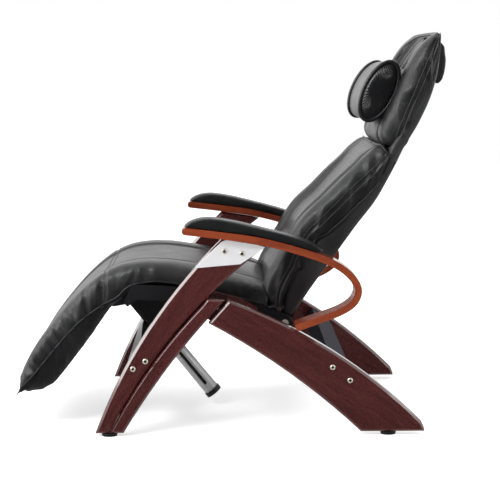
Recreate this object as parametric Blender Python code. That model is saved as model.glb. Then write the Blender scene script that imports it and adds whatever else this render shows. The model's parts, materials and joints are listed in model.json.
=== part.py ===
"""Powered zero gravity recliner: bent wooden side frames with loop arms, a pivoting
seat with a coupled back and leg rest, and a screw actuator below the knees.

Metres, +Z up. -X is where the feet point, +X is behind the head, and Y = 0 is the
plane of symmetry. The sitter's left side is at -Y. Outlines are written as (x, z)
points at rest and are extruded or lofted along Y. Last of all the chair moves by
DATUM_X, which puts the origin on the floor below the middle of the whole chair.
"""

import math

import bmesh
import bpy
from mathutils import Matrix, Vector

# ---------------------------------------------------------------- driving dimensions
GAP = 0.0003                    # between pieces that touch
DATUM_X = 0.0195                # x of the outlines' midpoint, which becomes the origin
SIDES = (("left", -1), ("right", 1))

# wooden side frames
BOARD_OUTER_Y = 0.335
BOARD_INNER_Y = 0.300
FOOT_Z = 0.010                  # underside of the boards, on top of the glides
LEG_GROOVE = 0.0055             # widest part of the tapering groove between leg and brace
BATTEN_T = 0.018
BRACKET_T = 0.004

# arms
ARM_OUTER_Y = 0.355
ARM_INNER_Y = 0.295
ARM_T = 0.020
ARM_PAD_HALF = 0.0275
ARM_PAD_X = (-0.122, 0.272)
ARM_TURN_Z = 0.500              # the pad lies on the part of the loop above this
ARM_CUT_Y = (0.2, 0.4)

# joints, all along Y
SEAT_PIVOT = Vector((-0.030, 0.370))
BACK_PIVOT = Vector((0.168, 0.318))
KNEE_HINGE = Vector((-0.282, 0.383))
PIN_R = 0.006
PIN_HOLE_R = PIN_R + GAP
SEAT_PIN_Y = (0.232, 0.297)
BACK_PIN_Y = (0.208, 0.264)
KNEE_PIN_Y = (0.225, 0.265)
BACK_PIN_HEAD = (0.010, 0.266)     # radius and outer face

# frame rails: the seat's rails run outside those of the back and the leg rest
SEAT_RAIL_Y = (0.240, 0.262)
INNER_RAIL_Y = (0.2145, 0.2375)
HEAD_RAIL_Y = (0.1960, 0.2180)     # the back's rails are closer together above the neck
NECK_Z = 0.790
HEAD_RAIL_OVERLAP = 0.070
HEAD_RAIL_TOP_Z = 1.070
TUBE_R = 0.0125

# actuator: a slotted rail tube that slopes down to the rear
RAIL_TOP = Vector((-0.239, 0.288))
RAIL_ANGLE = math.radians(-51.3)
RAIL_DIR = Vector((math.cos(RAIL_ANGLE), math.sin(RAIL_ANGLE)))
RAIL_UP = Vector((-RAIL_DIR.y, RAIL_DIR.x))
RAIL_LENGTH = 0.310
RAIL_R = 0.023
RAIL_BORE_R = 0.0195
RAIL_SLOT = (0.004, 0.278)
RAIL_SLOT_HALF = 0.0050
TRUNNION_R = 0.0045
TRUNNION_END_Y = 0.066
SCREW_R = 0.006
NUT_LENGTH = 0.018
HOUSING = (0.075, 0.020, 0.032, 0.045)  # length along the rail, drop, rise, half width
CRANK_Y = (0.052, 0.057)
INLET = (0.052, 0.026, 0.012, 0.006)    # far and near end along the rail, half height, depth
SADDLE_LENGTH = 0.036
SADDLE_HALF = 0.040
SADDLE_FOOT = 0.45              # part of the front web's width where the saddle starts

# cross members: channels, open below
FRONT_WEB = (Vector((-0.2885, 0.208)), Vector((-0.2355, 0.240)))
FRONT_DEPTH = 0.022
REAR_WEB = (Vector((0.290, 0.247)), Vector((0.351, 0.2025)))
REAR_DEPTH = 0.044
CHANNEL_T = 0.004
CHANNEL_HOLE_REACH = 0.020
WEB_HOLE_Y = (-0.070, 0.070)
WEB_HOLE_PARTS = (0.42, 0.68)
WEB_HOLE_R = 0.004

# link between the back and the leg rest
BACK_LEVER = 0.066
KNEE_LEVER = 0.045
LINK_Y = (0.200, 0.208)
LINK_PIN_R = 0.004
LINK_PIN_Y = (0.196, 0.225)

# upholstery half widths
SEAT_HALF = 0.256
BACK_HALF = 0.248
HEAD_HALF = 0.228
COVER_T = 0.005                 # rear cover of the back
COVER_HALF = 0.238
HEAD_COVER_HALF = 0.222
BACK_RAIL_DEPTH = 0.031
BACK_TUBE_R = 0.010
BOARD_HALF = 0.2385             # half widths of the panels under the seat and the leg rest
LEG_PANEL_HALF = 0.236
SEAT_TUBE_HALF = 0.250

BOLT_HEAD_R = 0.0080
BOLT_HEAD_T = 0.0030
BOLT_SHANK_R = 0.0040
GLIDE_R = 0.024                 # half length, along the board
GLIDE_HALF_WIDTH = 0.0165
GLIDE_X = (("front_glide", -0.341), ("rear_glide", 0.466))
HOLE_Y = (0.25, 0.36)           # how far the tools for bolt and pin holes reach
THROUGH_Y = (-0.30, 0.30)

COLOURS = {
    "mahogany": ((0.080, 0.018, 0.015), 0.30, 0.0),
    "cherry": ((0.380, 0.090, 0.025), 0.30, 0.0),
    "leather": ((0.020, 0.021, 0.023), 0.42, 0.0),
    "aluminium": ((0.800, 0.800, 0.810), 0.30, 1.0),
    "bolt_steel": ((0.700, 0.690, 0.660), 0.22, 1.0),
    "grey_steel": ((0.550, 0.560, 0.580), 0.40, 1.0),
    "black_steel": ((0.020, 0.020, 0.024), 0.40, 0.6),
    "black_plastic": ((0.015, 0.015, 0.016), 0.45, 0.0),
    "board": ((0.028, 0.022, 0.018), 0.70, 0.0),
    "webbing": ((0.018, 0.018, 0.020), 0.80, 0.0),
}


# ---------------------------------------------------------------- helpers
def clear_scene():
    for obj in list(bpy.data.objects):
        bpy.data.objects.remove(obj, do_unlink=True)


def material_for(name, kind):
    colour, roughness, metallic = COLOURS[kind]
    material = bpy.data.materials.new(f"{name}_{kind}")
    material.use_nodes = True
    shader = material.node_tree.nodes["Principled BSDF"]
    shader.inputs["Base Color"].default_value = (*colour, 1.0)
    shader.inputs["Roughness"].default_value = roughness
    shader.inputs["Metallic"].default_value = metallic
    return material


def add_object(name, bm, kind=None, origin=None):
    """Turn a bmesh into an object. origin is the (x, z) of the joint it turns on."""
    bmesh.ops.recalc_face_normals(bm, faces=bm.faces)
    place = Vector((origin.x, 0, origin.y)) if origin else Vector()
    bmesh.ops.translate(bm, verts=bm.verts, vec=-place)
    mesh = bpy.data.meshes.new(name)
    bm.to_mesh(mesh)
    bm.free()
    obj = bpy.data.objects.new(name, mesh)
    obj.location = place
    bpy.context.collection.objects.link(obj)
    if kind:
        mesh.materials.append(material_for(name, kind))
    return obj


def prism_mesh(outline, y_low, y_high):
    bm = bmesh.new()
    rings = [[bm.verts.new((x, y, z)) for x, z in outline] for y in (y_low, y_high)]
    bm.faces.new(rings[0])
    bm.faces.new(reversed(rings[1]))
    count = len(outline)
    for i in range(count):
        j = (i + 1) % count
        bm.faces.new((rings[0][i], rings[0][j], rings[1][j], rings[1][i]))
    return bm


def prism(name, outline, y_range, kind=None, side=1, origin=None):
    low, high = sorted(side * y for y in y_range)
    return add_object(name, prism_mesh(outline, low, high), kind, origin)


def rod_y(name, centre, radius, y_range, kind=None, side=1, segments=24, origin=None):
    return prism(name, circle(centre, radius, segments), y_range, kind, side, origin)


def rod_along(name, start, end, radius, kind=None, segments=32):
    """A round rod in the plane Y = 0, between two (x, z) points."""
    axis = Vector((end.x - start.x, 0, end.y - start.y))
    turn = axis.to_track_quat("Z", "Y").to_matrix().to_4x4()
    middle = Vector(((start.x + end.x) / 2, 0, (start.y + end.y) / 2))
    bm = bmesh.new()
    bmesh.ops.create_cone(bm, cap_ends=True, segments=segments, radius1=radius, radius2=radius,
                          depth=axis.length, matrix=Matrix.Translation(middle) @ turn)
    return add_object(name, bm, kind)


def combine(target, tool, operation):
    """Join or cut with an exact Boolean, keep the result and remove the tool."""
    modifier = target.modifiers.new(operation, "BOOLEAN")
    modifier.operation = operation
    modifier.solver = "EXACT"
    modifier.object = tool
    evaluated = target.evaluated_get(bpy.context.evaluated_depsgraph_get())
    mesh = bpy.data.meshes.new_from_object(evaluated)
    target.modifiers.remove(modifier)
    target.data = mesh
    bpy.data.objects.remove(tool, do_unlink=True)
    return target


def join(target, *tools):
    for tool in tools:
        combine(target, tool, "UNION")
    return target


def cut(target, *tools):
    for tool in tools:
        combine(target, tool, "DIFFERENCE")
    return target


def smooth(obj, angle=40):
    obj.data.shade_smooth()
    obj.data.set_sharp_from_angle(angle=math.radians(angle))
    return obj


def circle(centre, radius, segments=24):
    steps = [2 * math.pi * i / segments for i in range(segments)]
    return [(centre[0] + radius * math.cos(a), centre[1] + radius * math.sin(a)) for a in steps]


def fan(centre, radius, from_deg, to_deg, steps):
    """Points on part of a circle, ends included."""
    angles = [math.radians(from_deg + (to_deg - from_deg) * i / steps) for i in range(steps + 1)]
    return [(centre[0] + radius * math.cos(a), centre[1] + radius * math.sin(a)) for a in angles]


def bow(start, end, rise, steps=14):
    """Points on a shallow curve from start to end, bowed to the left of its direction."""
    start = Vector(start)
    along = Vector(end) - start
    left = Vector((-along.y, along.x)).normalized()
    parts = [i / steps for i in range(steps + 1)]
    return [tuple(start + along * t + left * rise * 4 * t * (1 - t)) for t in parts]


def spline(points, steps=6):
    """A smooth curve through the given points, steps pieces between each two."""
    points = [Vector(p) for p in points]
    padded = [2 * points[0] - points[1], *points, 2 * points[-1] - points[-2]]
    curve = []
    for p0, p1, p2, p3 in zip(padded, padded[1:], padded[2:], padded[3:]):
        for i in range(steps):
            t = i / steps
            curve.append(0.5 * (2 * p1 + (p2 - p0) * t + (2 * p0 - 5 * p1 + 4 * p2 - p3) * t * t
                                + (3 * p1 - p0 - 3 * p2 + p3) * t ** 3))
    return curve + [points[-1]]


def shifted(curve, distance):
    """The same curve moved sideways, to its left where distance is above 0."""
    moved = []
    for i, point in enumerate(curve):
        before = curve[max(i - 1, 0)]
        after = curve[min(i + 1, len(curve) - 1)]
        along = (after - before).normalized()
        moved.append(point + Vector((-along.y, along.x)) * distance)
    return moved


def strip(curve, near, far):
    """Outline of the band between two sideways shifts of a curve."""
    band = shifted(curve, near) + list(reversed(shifted(curve, far)))
    return [tuple(p) for p in band]


def pad_mesh(outline, half, round_y, shrink):
    """A crowned pad: the outline lofted along Y, with its ends drawn in."""
    centre = sum((Vector(p) for p in outline), Vector((0, 0))) / len(outline)
    stations = [(-half, shrink), (-half + round_y, shrink / 3), (-half + 2.6 * round_y, 0)]
    stations += [(-y, s) for y, s in reversed(stations)]
    bm = bmesh.new()
    rings = []
    for y, inward in stations:
        ring = []
        for point in outline:
            arm = Vector(point) - centre
            place = centre + arm * (1 - inward / max(arm.length, 2 * inward))
            ring.append(bm.verts.new((place.x, y, place.y)))
        rings.append(ring)
    count = len(outline)
    for ring, following in zip(rings, rings[1:]):
        for i in range(count):
            j = (i + 1) % count
            bm.faces.new((ring[i], ring[j], following[j], following[i]))
    bm.faces.new(rings[0])
    bm.faces.new(reversed(rings[-1]))
    return bm


def pad(name, outline, half, round_y=0.016, shrink=0.012, origin=None):
    return add_object(name, pad_mesh(outline, half, round_y, shrink), "leather", origin)


def slot_tool(start, end, half, y_range):
    """A cutter with round ends, from one (x, z) point to another."""
    along = math.degrees(math.atan2(end.y - start.y, end.x - start.x))
    outline = fan(end, half, along - 90, along + 90, 8) + fan(start, half, along + 90, along + 270, 8)
    return prism("slot_tool", outline, y_range)


def on_rail(distance, up=0.0):
    """The (x, z) point at a distance down the actuator's rail, and above its axis."""
    return RAIL_TOP + RAIL_DIR * distance + RAIL_UP * up


# ---------------------------------------------------------------- side frames
LEG_FRONT = bow((-0.381, FOOT_Z), (-0.014, 0.5755), 0.037)
LEG_REAR = bow((-0.341, FOOT_Z), (0.1095, 0.5530), 0.041)
BRACE_REAR = bow((-0.300, FOOT_Z), (-0.0640, 0.3345), 0.009, 8)
REAR_LEG_TOP = bow((0.0045, 0.3985), (0.5615, 0.0380), 0.036, 16)
REAR_LEG_BOTTOM = bow((-0.0540, 0.3320), (0.3860, FOOT_Z), 0.018, 10)
GROOVE_TOP_Z = 0.404


def front_leg_outline():
    return LEG_REAR + [(0.0840, 0.5600)] + list(reversed(LEG_FRONT))


def brace_outline():
    """Follows the leg's rear edge, with a groove that opens towards the top."""
    front = []
    for x, z in LEG_REAR:
        if z > GROOVE_TOP_Z:
            break
        opening = GAP + LEG_GROOVE * (z - FOOT_Z) / (GROOVE_TOP_Z - FOOT_Z)
        front.append((x + opening * 1.3, z))
    return BRACE_REAR + [(-0.0080, 0.3985), (-0.0575, GROOVE_TOP_Z)] + list(reversed(front))


def rear_leg_outline():
    tip = [(0.5690, 0.0200), (0.5700, FOOT_Z)]
    return REAR_LEG_TOP + tip + list(reversed(REAR_LEG_BOTTOM))


BATTEN_OUTLINE = [
    (-0.322, 0.060), (-0.288, 0.055), (-0.235, 0.135), (-0.165, 0.232), (-0.112, 0.294),
    (-0.062, 0.341), (0.020, 0.298), (0.090, 0.290), (0.086, 0.370), (0.030, 0.401),
    (-0.100, 0.432), (-0.190, 0.330), (-0.255, 0.250), (-0.291, 0.190), (-0.303, 0.130),
]
BRACKET_OUTLINE = [
    (-0.0900, 0.4930), (0.0370, 0.5040), (0.1080, 0.5520), (0.0830, 0.5592),
    (-0.0020, 0.5730), (-0.0160, 0.5680), (-0.0870, 0.4990),
]
ARM_PATH = spline([
    (-0.117, 0.599), (-0.015, 0.587), (0.092, 0.571), (0.200, 0.543), (0.290, 0.511),
    (0.342, 0.477), (0.3695, 0.436), (0.3600, 0.397), (0.322, 0.369), (0.262, 0.346),
    (0.194, 0.3215),
], 4)
ARM_END_CUT = [(0.1500, 0.3420), (0.2350, 0.2955), (0.2200, 0.2600), (0.1200, 0.3000)]
ARM_PAD_TOP = spline([
    (-0.1215, 0.6120), (-0.1120, 0.6210), (-0.0900, 0.6310), (-0.0490, 0.6360),
    (0.0270, 0.6245), (0.1360, 0.5975), (0.2070, 0.5765), (0.2520, 0.5580), (0.2730, 0.5400),
], 2)

BRACKET_BOLTS = ((-0.008, 0.541), (0.042, 0.534))
FRONT_BOLTS = ((-0.270, 0.2015), (-0.2345, 0.2235))
REAR_BOLTS = ((0.301, 0.203), (0.352, 0.164))


def build_boards(side, sign):
    boards = (("front_leg", front_leg_outline()), ("leg_brace", brace_outline()),
              ("rear_leg", rear_leg_outline()))
    for part, outline in boards:
        bolts = {"front_leg": BRACKET_BOLTS + FRONT_BOLTS, "rear_leg": REAR_BOLTS}.get(part, ())
        board = prism(f"{side}_{part}", outline, (BOARD_INNER_Y, BOARD_OUTER_Y), "mahogany", sign)
        for place in bolts:
            cut(board, rod_y("hole", place, BOLT_SHANK_R + GAP, HOLE_Y, None, sign, 12))
    inner = BOARD_INNER_Y - GAP
    batten = prism(f"{side}_leg_batten", BATTEN_OUTLINE, (inner - BATTEN_T, inner), "mahogany", sign)
    cut(batten, rod_y("hole", SEAT_PIVOT, PIN_HOLE_R, HOLE_Y, None, sign))
    for place in FRONT_BOLTS:
        cut(batten, rod_y("hole", place, BOLT_SHANK_R + GAP, HOLE_Y, None, sign, 12))


def build_bracket(side, sign):
    inner = BOARD_OUTER_Y + GAP
    bracket = prism(f"{side}_arm_bracket", BRACKET_OUTLINE, (inner, inner + BRACKET_T), "aluminium",
                    sign)
    for place in BRACKET_BOLTS:
        cut(bracket, rod_y("hole", place, BOLT_SHANK_R + GAP, HOLE_Y, None, sign, 12))


def build_bolt(name, place, face_y, length, sign):
    """A button head on the outside and a shank that runs inwards through the board."""
    head = face_y + GAP
    bolt = rod_y(name, place, BOLT_HEAD_R, (head, head + BOLT_HEAD_T), "bolt_steel", sign, 20)
    join(bolt, rod_y("shank", place, BOLT_SHANK_R, (face_y - length, head + BOLT_HEAD_T / 2),
                     None, sign, 12))
    smooth(bolt)


def build_bolts(side, sign):
    plate_face = BOARD_OUTER_Y + GAP + BRACKET_T
    groups = (("bracket", BRACKET_BOLTS, plate_face, 0.030),
              ("front", FRONT_BOLTS, BOARD_OUTER_Y, 0.050),
              ("rear", REAR_BOLTS, BOARD_OUTER_Y, 0.032))
    for group, places, face_y, length in groups:
        for number, place in enumerate(places, 1):
            build_bolt(f"{side}_{group}_bolt_{number}", place, face_y, length, sign)


def build_arm(side, sign):
    loop = prism(f"{side}_arm_loop", strip(ARM_PATH, ARM_T / 2, -ARM_T / 2),
                 (ARM_INNER_Y, ARM_OUTER_Y), "cherry", sign)
    join(loop, rod_y("tip", ARM_PATH[0], ARM_T / 2, (ARM_INNER_Y, ARM_OUTER_Y), None, sign, 24))
    cut(loop, prism("end_cut", ARM_END_CUT, ARM_CUT_Y, None, sign))
    lower = [p for p in shifted(ARM_PATH, ARM_T / 2 + GAP)
             if ARM_PAD_X[0] < p.x < ARM_PAD_X[1] and p.y > ARM_TURN_Z]
    outline = [tuple(p) for p in lower] + [tuple(p) for p in reversed(ARM_PAD_TOP)]
    middle = (ARM_INNER_Y + ARM_OUTER_Y) / 2
    pad_solid = add_object(f"{side}_arm_pad", pad_mesh(outline, ARM_PAD_HALF, 0.006, 0.005), "leather")
    pad_solid.location.y = sign * middle


def build_glides(side, sign):
    middle = (BOARD_INNER_Y + BOARD_OUTER_Y) / 2
    stretch = Matrix.Diagonal((GLIDE_R / GLIDE_HALF_WIDTH, 1, 1, 1))
    for part, x in GLIDE_X:
        bm = bmesh.new()
        height = FOOT_Z - GAP
        place = Matrix.Translation((x, sign * middle, height / 2))
        bmesh.ops.create_cone(bm, cap_ends=True, segments=24, radius1=0.9 * GLIDE_HALF_WIDTH,
                              radius2=GLIDE_HALF_WIDTH, depth=height, matrix=place @ stretch)
        smooth(add_object(f"{side}_{part}", bm, "black_plastic"))


def build_seat_pivot(side, sign):
    """A pin from the batten into the seat rail, with a collar that keeps them apart."""
    batten_face = BOARD_INNER_Y - GAP - BATTEN_T
    pin = rod_y(f"{side}_seat_pivot", SEAT_PIVOT, PIN_R, SEAT_PIN_Y, "bolt_steel", sign)
    join(pin, rod_y("collar", SEAT_PIVOT, 2 * PIN_R, (SEAT_RAIL_Y[1] + GAP, batten_face - GAP),
                    None, sign))
    smooth(pin)


# ---------------------------------------------------------------- cross members
def channel(name, web, depth, half_width, kind):
    """A folded channel under a sloping web, closed by a plate at each end."""
    start, end = web
    along = (end - start).normalized()
    down = Vector((along.y, -along.x))
    outline = [start, end, end + down * depth, start + down * depth]
    body = prism(name, [tuple(p) for p in outline], (-half_width, half_width), kind)
    inner_start = start + (along + down) * CHANNEL_T
    inner_end = end + (down - along) * CHANNEL_T
    hollow = [inner_start, inner_end, inner_end + down * depth, inner_start + down * depth]
    inside = half_width - CHANNEL_T
    return cut(body, prism("hollow", [tuple(p) for p in hollow], (-inside, inside)))


def channel_holes(body, places, half_width, sign):
    for place in places:
        y_range = (half_width - CHANNEL_HOLE_REACH, half_width + CHANNEL_HOLE_REACH)
        cut(body, rod_y("hole", place, BOLT_SHANK_R + GAP, y_range, None, sign, 12))


def build_crossmembers():
    front_half = BOARD_INNER_Y - 2 * GAP - BATTEN_T
    front = channel("front_crossmember", FRONT_WEB, FRONT_DEPTH, front_half, "grey_steel")
    rear_half = BOARD_INNER_Y - GAP
    rear = channel("rear_crossmember", REAR_WEB, REAR_DEPTH, rear_half, "black_steel")
    for _, sign in SIDES:
        channel_holes(front, FRONT_BOLTS, front_half, sign)
        channel_holes(rear, REAR_BOLTS, rear_half, sign)
    slope = (FRONT_WEB[1] - FRONT_WEB[0]).normalized()
    angle = math.atan2(slope.y, slope.x)
    for y in WEB_HOLE_Y:
        for part in WEB_HOLE_PARTS:
            x, z = FRONT_WEB[0].lerp(FRONT_WEB[1], part)
            bm = bmesh.new()
            tilt = Matrix.Translation((x, y, z)) @ Matrix.Rotation(-angle, 4, "Y")
            bmesh.ops.create_cone(bm, cap_ends=True, segments=12, radius1=WEB_HOLE_R,
                                  radius2=WEB_HOLE_R, depth=3 * CHANNEL_T, matrix=tilt)
            cut(front, add_object("hole", bm))


# ---------------------------------------------------------------- actuator
def build_actuator():
    length, drop, rise, half_width = HOUSING
    corners = ((-length, -drop), (-GAP, -drop), (-GAP, rise), (-length, rise))
    outline = [tuple(on_rail(s, up)) for s, up in corners]
    housing = prism("motor_housing", outline, (-half_width, half_width), "black_plastic")
    bevel = housing.modifiers.new("edges", "BEVEL")
    bevel.width = 0.006
    bevel.segments = 2

    tube = rod_along("rail_tube", on_rail(0), on_rail(RAIL_LENGTH), RAIL_R, "aluminium", 36)
    cut(tube, rod_along("bore", on_rail(-0.01), on_rail(RAIL_LENGTH + 0.01), RAIL_BORE_R, None, 36))
    cut(tube, slot_tool(on_rail(RAIL_SLOT[0] + RAIL_SLOT_HALF), on_rail(RAIL_SLOT[1] - RAIL_SLOT_HALF),
                        RAIL_SLOT_HALF, (-0.04, 0.04)))
    smooth(tube)

    cap = rod_along("tube_end_cap", on_rail(RAIL_LENGTH - 0.006), on_rail(RAIL_LENGTH + 0.009),
                    RAIL_R + 0.003, "black_plastic", 36)
    cut(cap, rod_along("seat", on_rail(RAIL_LENGTH - 0.010), on_rail(RAIL_LENGTH + GAP),
                       RAIL_R + GAP, None, 36))
    smooth(cap)

    smooth(rod_along("lead_screw", on_rail(2 * GAP), on_rail(RAIL_LENGTH), SCREW_R, "bolt_steel", 16))

    saddle = [tuple(on_rail(s, up)) for s, up in ((GAP, -RAIL_R - GAP), (SADDLE_LENGTH, -RAIL_R - GAP))]
    start, end = FRONT_WEB
    lift = Vector((start.y - end.y, end.x - start.x)).normalized() * GAP
    saddle += [tuple(end + lift), tuple(start.lerp(end, SADDLE_FOOT) + lift)]
    saddle += [tuple(on_rail(GAP, -RAIL_R - 0.004))]
    prism("actuator_mount", saddle, (-SADDLE_HALF, SADDLE_HALF), "black_steel")

    far, near, half_height, depth = INLET
    corners = ((-far, -half_height), (-near, -half_height), (-near, half_height), (-far, half_height))
    inlet = prism("power_inlet", [tuple(on_rail(s, up)) for s, up in corners],
                  (half_width + GAP, half_width + depth), "black_plastic")
    cut(inlet, rod_y("socket", on_rail(-(far + near) / 2), half_height / 2,
                     (half_width + depth / 3, half_width + 2 * depth), None, 1, 16))


def nut_rest():
    """Distance down the rail where the seat's cranks are square to it."""
    return (SEAT_PIVOT - RAIL_TOP).dot(RAIL_DIR)


def build_screw_nut():
    """The nut that the screw drives, with a trunnion on each side."""
    rest = nut_rest()
    nut = rod_along("screw_nut", on_rail(rest - NUT_LENGTH / 2), on_rail(rest + NUT_LENGTH / 2),
                    RAIL_BORE_R - 0.0006, "bolt_steel", 24)
    join(nut, rod_y("trunnions", on_rail(rest), TRUNNION_R, (-TRUNNION_END_Y, TRUNNION_END_Y),
                    None, 1, 16))
    cut(nut, rod_along("bore", on_rail(rest - 0.03), on_rail(rest + 0.03), SCREW_R + GAP, None, 16))
    smooth(nut)


# ---------------------------------------------------------------- seat
SEAT_UNDERSIDE = spline([(-0.268, 0.4370), (-0.161, 0.4310), (-0.026, 0.4060), (0.059, 0.3890),
                         (0.092, 0.3740)], 2)
SEAT_OUTLINE = [tuple(p) for p in SEAT_UNDERSIDE] + [
    (0.100, 0.3850), (0.102, 0.4180), (0.094, 0.4320), (0.040, 0.4500), (-0.030, 0.4700),
    (-0.100, 0.4870), (-0.165, 0.4975), (-0.225, 0.5000), (-0.256, 0.4960),
]
SEAT_BOARD_T = 0.012
SEAT_TUBES = ((-0.262, 0.4050), (-0.110, 0.3880), (0.100, 0.3450))
RAIL_OUTLINE = (
    fan(KNEE_HINGE, 0.016, 250, 130, 6)
    + [(-0.276, 0.4330), (-0.161, 0.4270), (-0.026, 0.4020), (0.059, 0.3850), (0.130, 0.3560)]
    + fan(BACK_PIVOT, 0.022, 65, -110, 8)
    + [(0.080, 0.3180), (-0.030, 0.3480), (-0.150, 0.3830), (-0.262, 0.3880)]
)


def build_seat():
    frame = prism("seat_frame", RAIL_OUTLINE, SEAT_RAIL_Y, "black_steel", -1, SEAT_PIVOT)
    tubes = [rod_y("tube", place, TUBE_R, (-SEAT_TUBE_HALF, SEAT_TUBE_HALF), None, 1, 20)
             for place in SEAT_TUBES]
    join(frame, tubes[0], prism("rail", RAIL_OUTLINE, SEAT_RAIL_Y), *tubes[1:])
    for place in (SEAT_PIVOT, KNEE_HINGE, BACK_PIVOT):
        cut(frame, rod_y("hole", place, PIN_HOLE_R, THROUGH_Y, None, 1, 24))

    prism("seat_board", strip(SEAT_UNDERSIDE, -0.001, -SEAT_BOARD_T), (-BOARD_HALF, BOARD_HALF),
          "board", 1, SEAT_PIVOT)
    pad("seat_cushion", SEAT_OUTLINE, SEAT_HALF, origin=SEAT_PIVOT)


def crank_outline():
    """A plate that hangs from the two front tubes down to the nut's trunnion."""
    foot = on_rail(nut_rest())
    return ([(-0.240, 0.4210), (-0.2760, 0.4190), (-0.2778, 0.3950), (-0.2840, 0.3620)]
            + fan(foot, 0.022, 205, 375, 8)
            + [(-0.128, 0.3560), (-0.088, 0.3720), (-0.088, 0.4045)])


def build_cranks():
    foot = on_rail(nut_rest())
    outward = (foot - SEAT_PIVOT).normalized()
    for side, sign in SIDES:
        plate = prism(f"{side}_crank_plate", crank_outline(), CRANK_Y, "black_steel", sign, SEAT_PIVOT)
        for place in SEAT_TUBES[:2]:
            cut(plate, rod_y("hole", place, TUBE_R + GAP, (0, 0.1), None, sign, 20))
        low, high = sorted((sign * 0.03, sign * 0.08))
        cut(plate, slot_tool(foot - outward * 0.002, foot + outward * 0.009, TRUNNION_R + 0.002,
                             (low, high)))


# ---------------------------------------------------------------- leg rest
LEG_UNDERSIDE = spline([(-0.3180, 0.3860), (-0.3440, 0.3560), (-0.3970, 0.2790), (-0.4500, 0.2080),
                        (-0.5040, 0.1410), (-0.5300, 0.1260)], 2)
LEG_BOARD_T = 0.012
KNEE_SEAT_FACE = math.radians(80)       # faces that the knee pad fills, as seen from the hinge
KNEE_LEG_FACE = math.radians(118)


def from_hinge(angle, distance):
    return KNEE_HINGE + Vector((math.cos(angle), math.sin(angle))) * distance


def leg_outline():
    under = [tuple(p) for p in shifted(LEG_UNDERSIDE, -LEG_BOARD_T - GAP)]
    near = tuple(from_hinge(KNEE_LEG_FACE, 0.032))
    top_near = tuple(from_hinge(KNEE_LEG_FACE, 0.106))
    return [near] + under + [
        (-0.5500, 0.1180), (-0.5950, 0.1100), (-0.6130, 0.1050), (-0.6150, 0.1220),
        (-0.6040, 0.1700), (-0.5830, 0.2120), (-0.5330, 0.2880), (-0.4760, 0.3590),
        (-0.4160, 0.4210), (-0.3700, 0.4560), top_near,
    ]


def build_leg_rest():
    frame = prism("legrest_frame", strip(LEG_UNDERSIDE[1:], 0, -LEG_BOARD_T),
                  (-LEG_PANEL_HALF, LEG_PANEL_HALF), "black_steel", 1, KNEE_HINGE)
    ear = fan(KNEE_HINGE, 0.014, 60, -120, 8) + [(-0.332, 0.3630), (-0.339, 0.3720), (-0.322, 0.3850)]
    lever_end = knee_link_pin()
    lever = (fan(lever_end, 0.009, 190, 370, 8)
             + [(KNEE_HINGE.x + 0.012, KNEE_HINGE.y), (KNEE_HINGE.x - 0.012, KNEE_HINGE.y)])
    for _, sign in SIDES:
        join(frame, prism("ear", ear, INNER_RAIL_Y, None, sign),
             rod_y("axle", KNEE_HINGE, PIN_R, KNEE_PIN_Y, None, sign))
    join(frame, prism("lever", lever, INNER_RAIL_Y),
         rod_y("link_pin", lever_end, LINK_PIN_R, LINK_PIN_Y, None, 1, 16))
    pad("legrest_cushion", leg_outline(), SEAT_HALF - 0.004, origin=KNEE_HINGE)


def build_knee_pad():
    """The soft wedge between seat and leg rest, which folds as the knee straightens."""
    outline = [
        tuple(from_hinge(math.radians(108), 0.036)), tuple(from_hinge(KNEE_LEG_FACE - 0.03, 0.040)),
        tuple(from_hinge(KNEE_LEG_FACE - 0.012, 0.104)), (-0.300, 0.4880),
        tuple(from_hinge(KNEE_SEAT_FACE + 0.02, 0.113)), (-0.2720, 0.4420), (-0.2900, 0.4370),
    ]
    pad("knee_pad", outline, SEAT_HALF - 0.004)


# ---------------------------------------------------------------- link rod
def link_square():
    """Unit vector from either pivot to its lever's end, square to the link rod."""
    span = BACK_PIVOT - KNEE_HINGE
    lean = math.asin((BACK_LEVER - KNEE_LEVER) / span.length)
    angle = math.atan2(span.y, span.x) - lean - math.pi / 2
    return Vector((math.cos(angle), math.sin(angle)))


def back_link_pin():
    return BACK_PIVOT + link_square() * BACK_LEVER


def knee_link_pin():
    return KNEE_HINGE + link_square() * KNEE_LEVER


def build_link_rod():
    """A flat bar between the two levers; its eyes are slots, for the levers' swing."""
    down = link_square()
    along = Vector((-down.y, down.x))
    front, rear = knee_link_pin(), back_link_pin()
    eye_low, eye_high, eye_half = 0.012, -0.020, 0.013
    outline = [front - along * eye_half + down * eye_low, front + along * eye_half + down * eye_low,
               front + along * 0.03 + down * 0.007, rear - along * 0.03 + down * 0.007,
               rear - along * eye_half + down * eye_low, rear + along * eye_half + down * eye_low,
               rear + along * eye_half + down * eye_high, rear - along * eye_half + down * eye_high,
               rear - along * 0.03 - down * 0.007, front + along * 0.03 - down * 0.007,
               front + along * eye_half + down * eye_high, front - along * eye_half + down * eye_high]
    rod = prism("link_rod", [tuple(p) for p in outline], LINK_Y, "black_steel")
    for pin in (front, rear):
        cut(rod, slot_tool(pin + down * 0.001, pin - down * 0.009, LINK_PIN_R + 0.002, LINK_PIN_Y))


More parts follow.
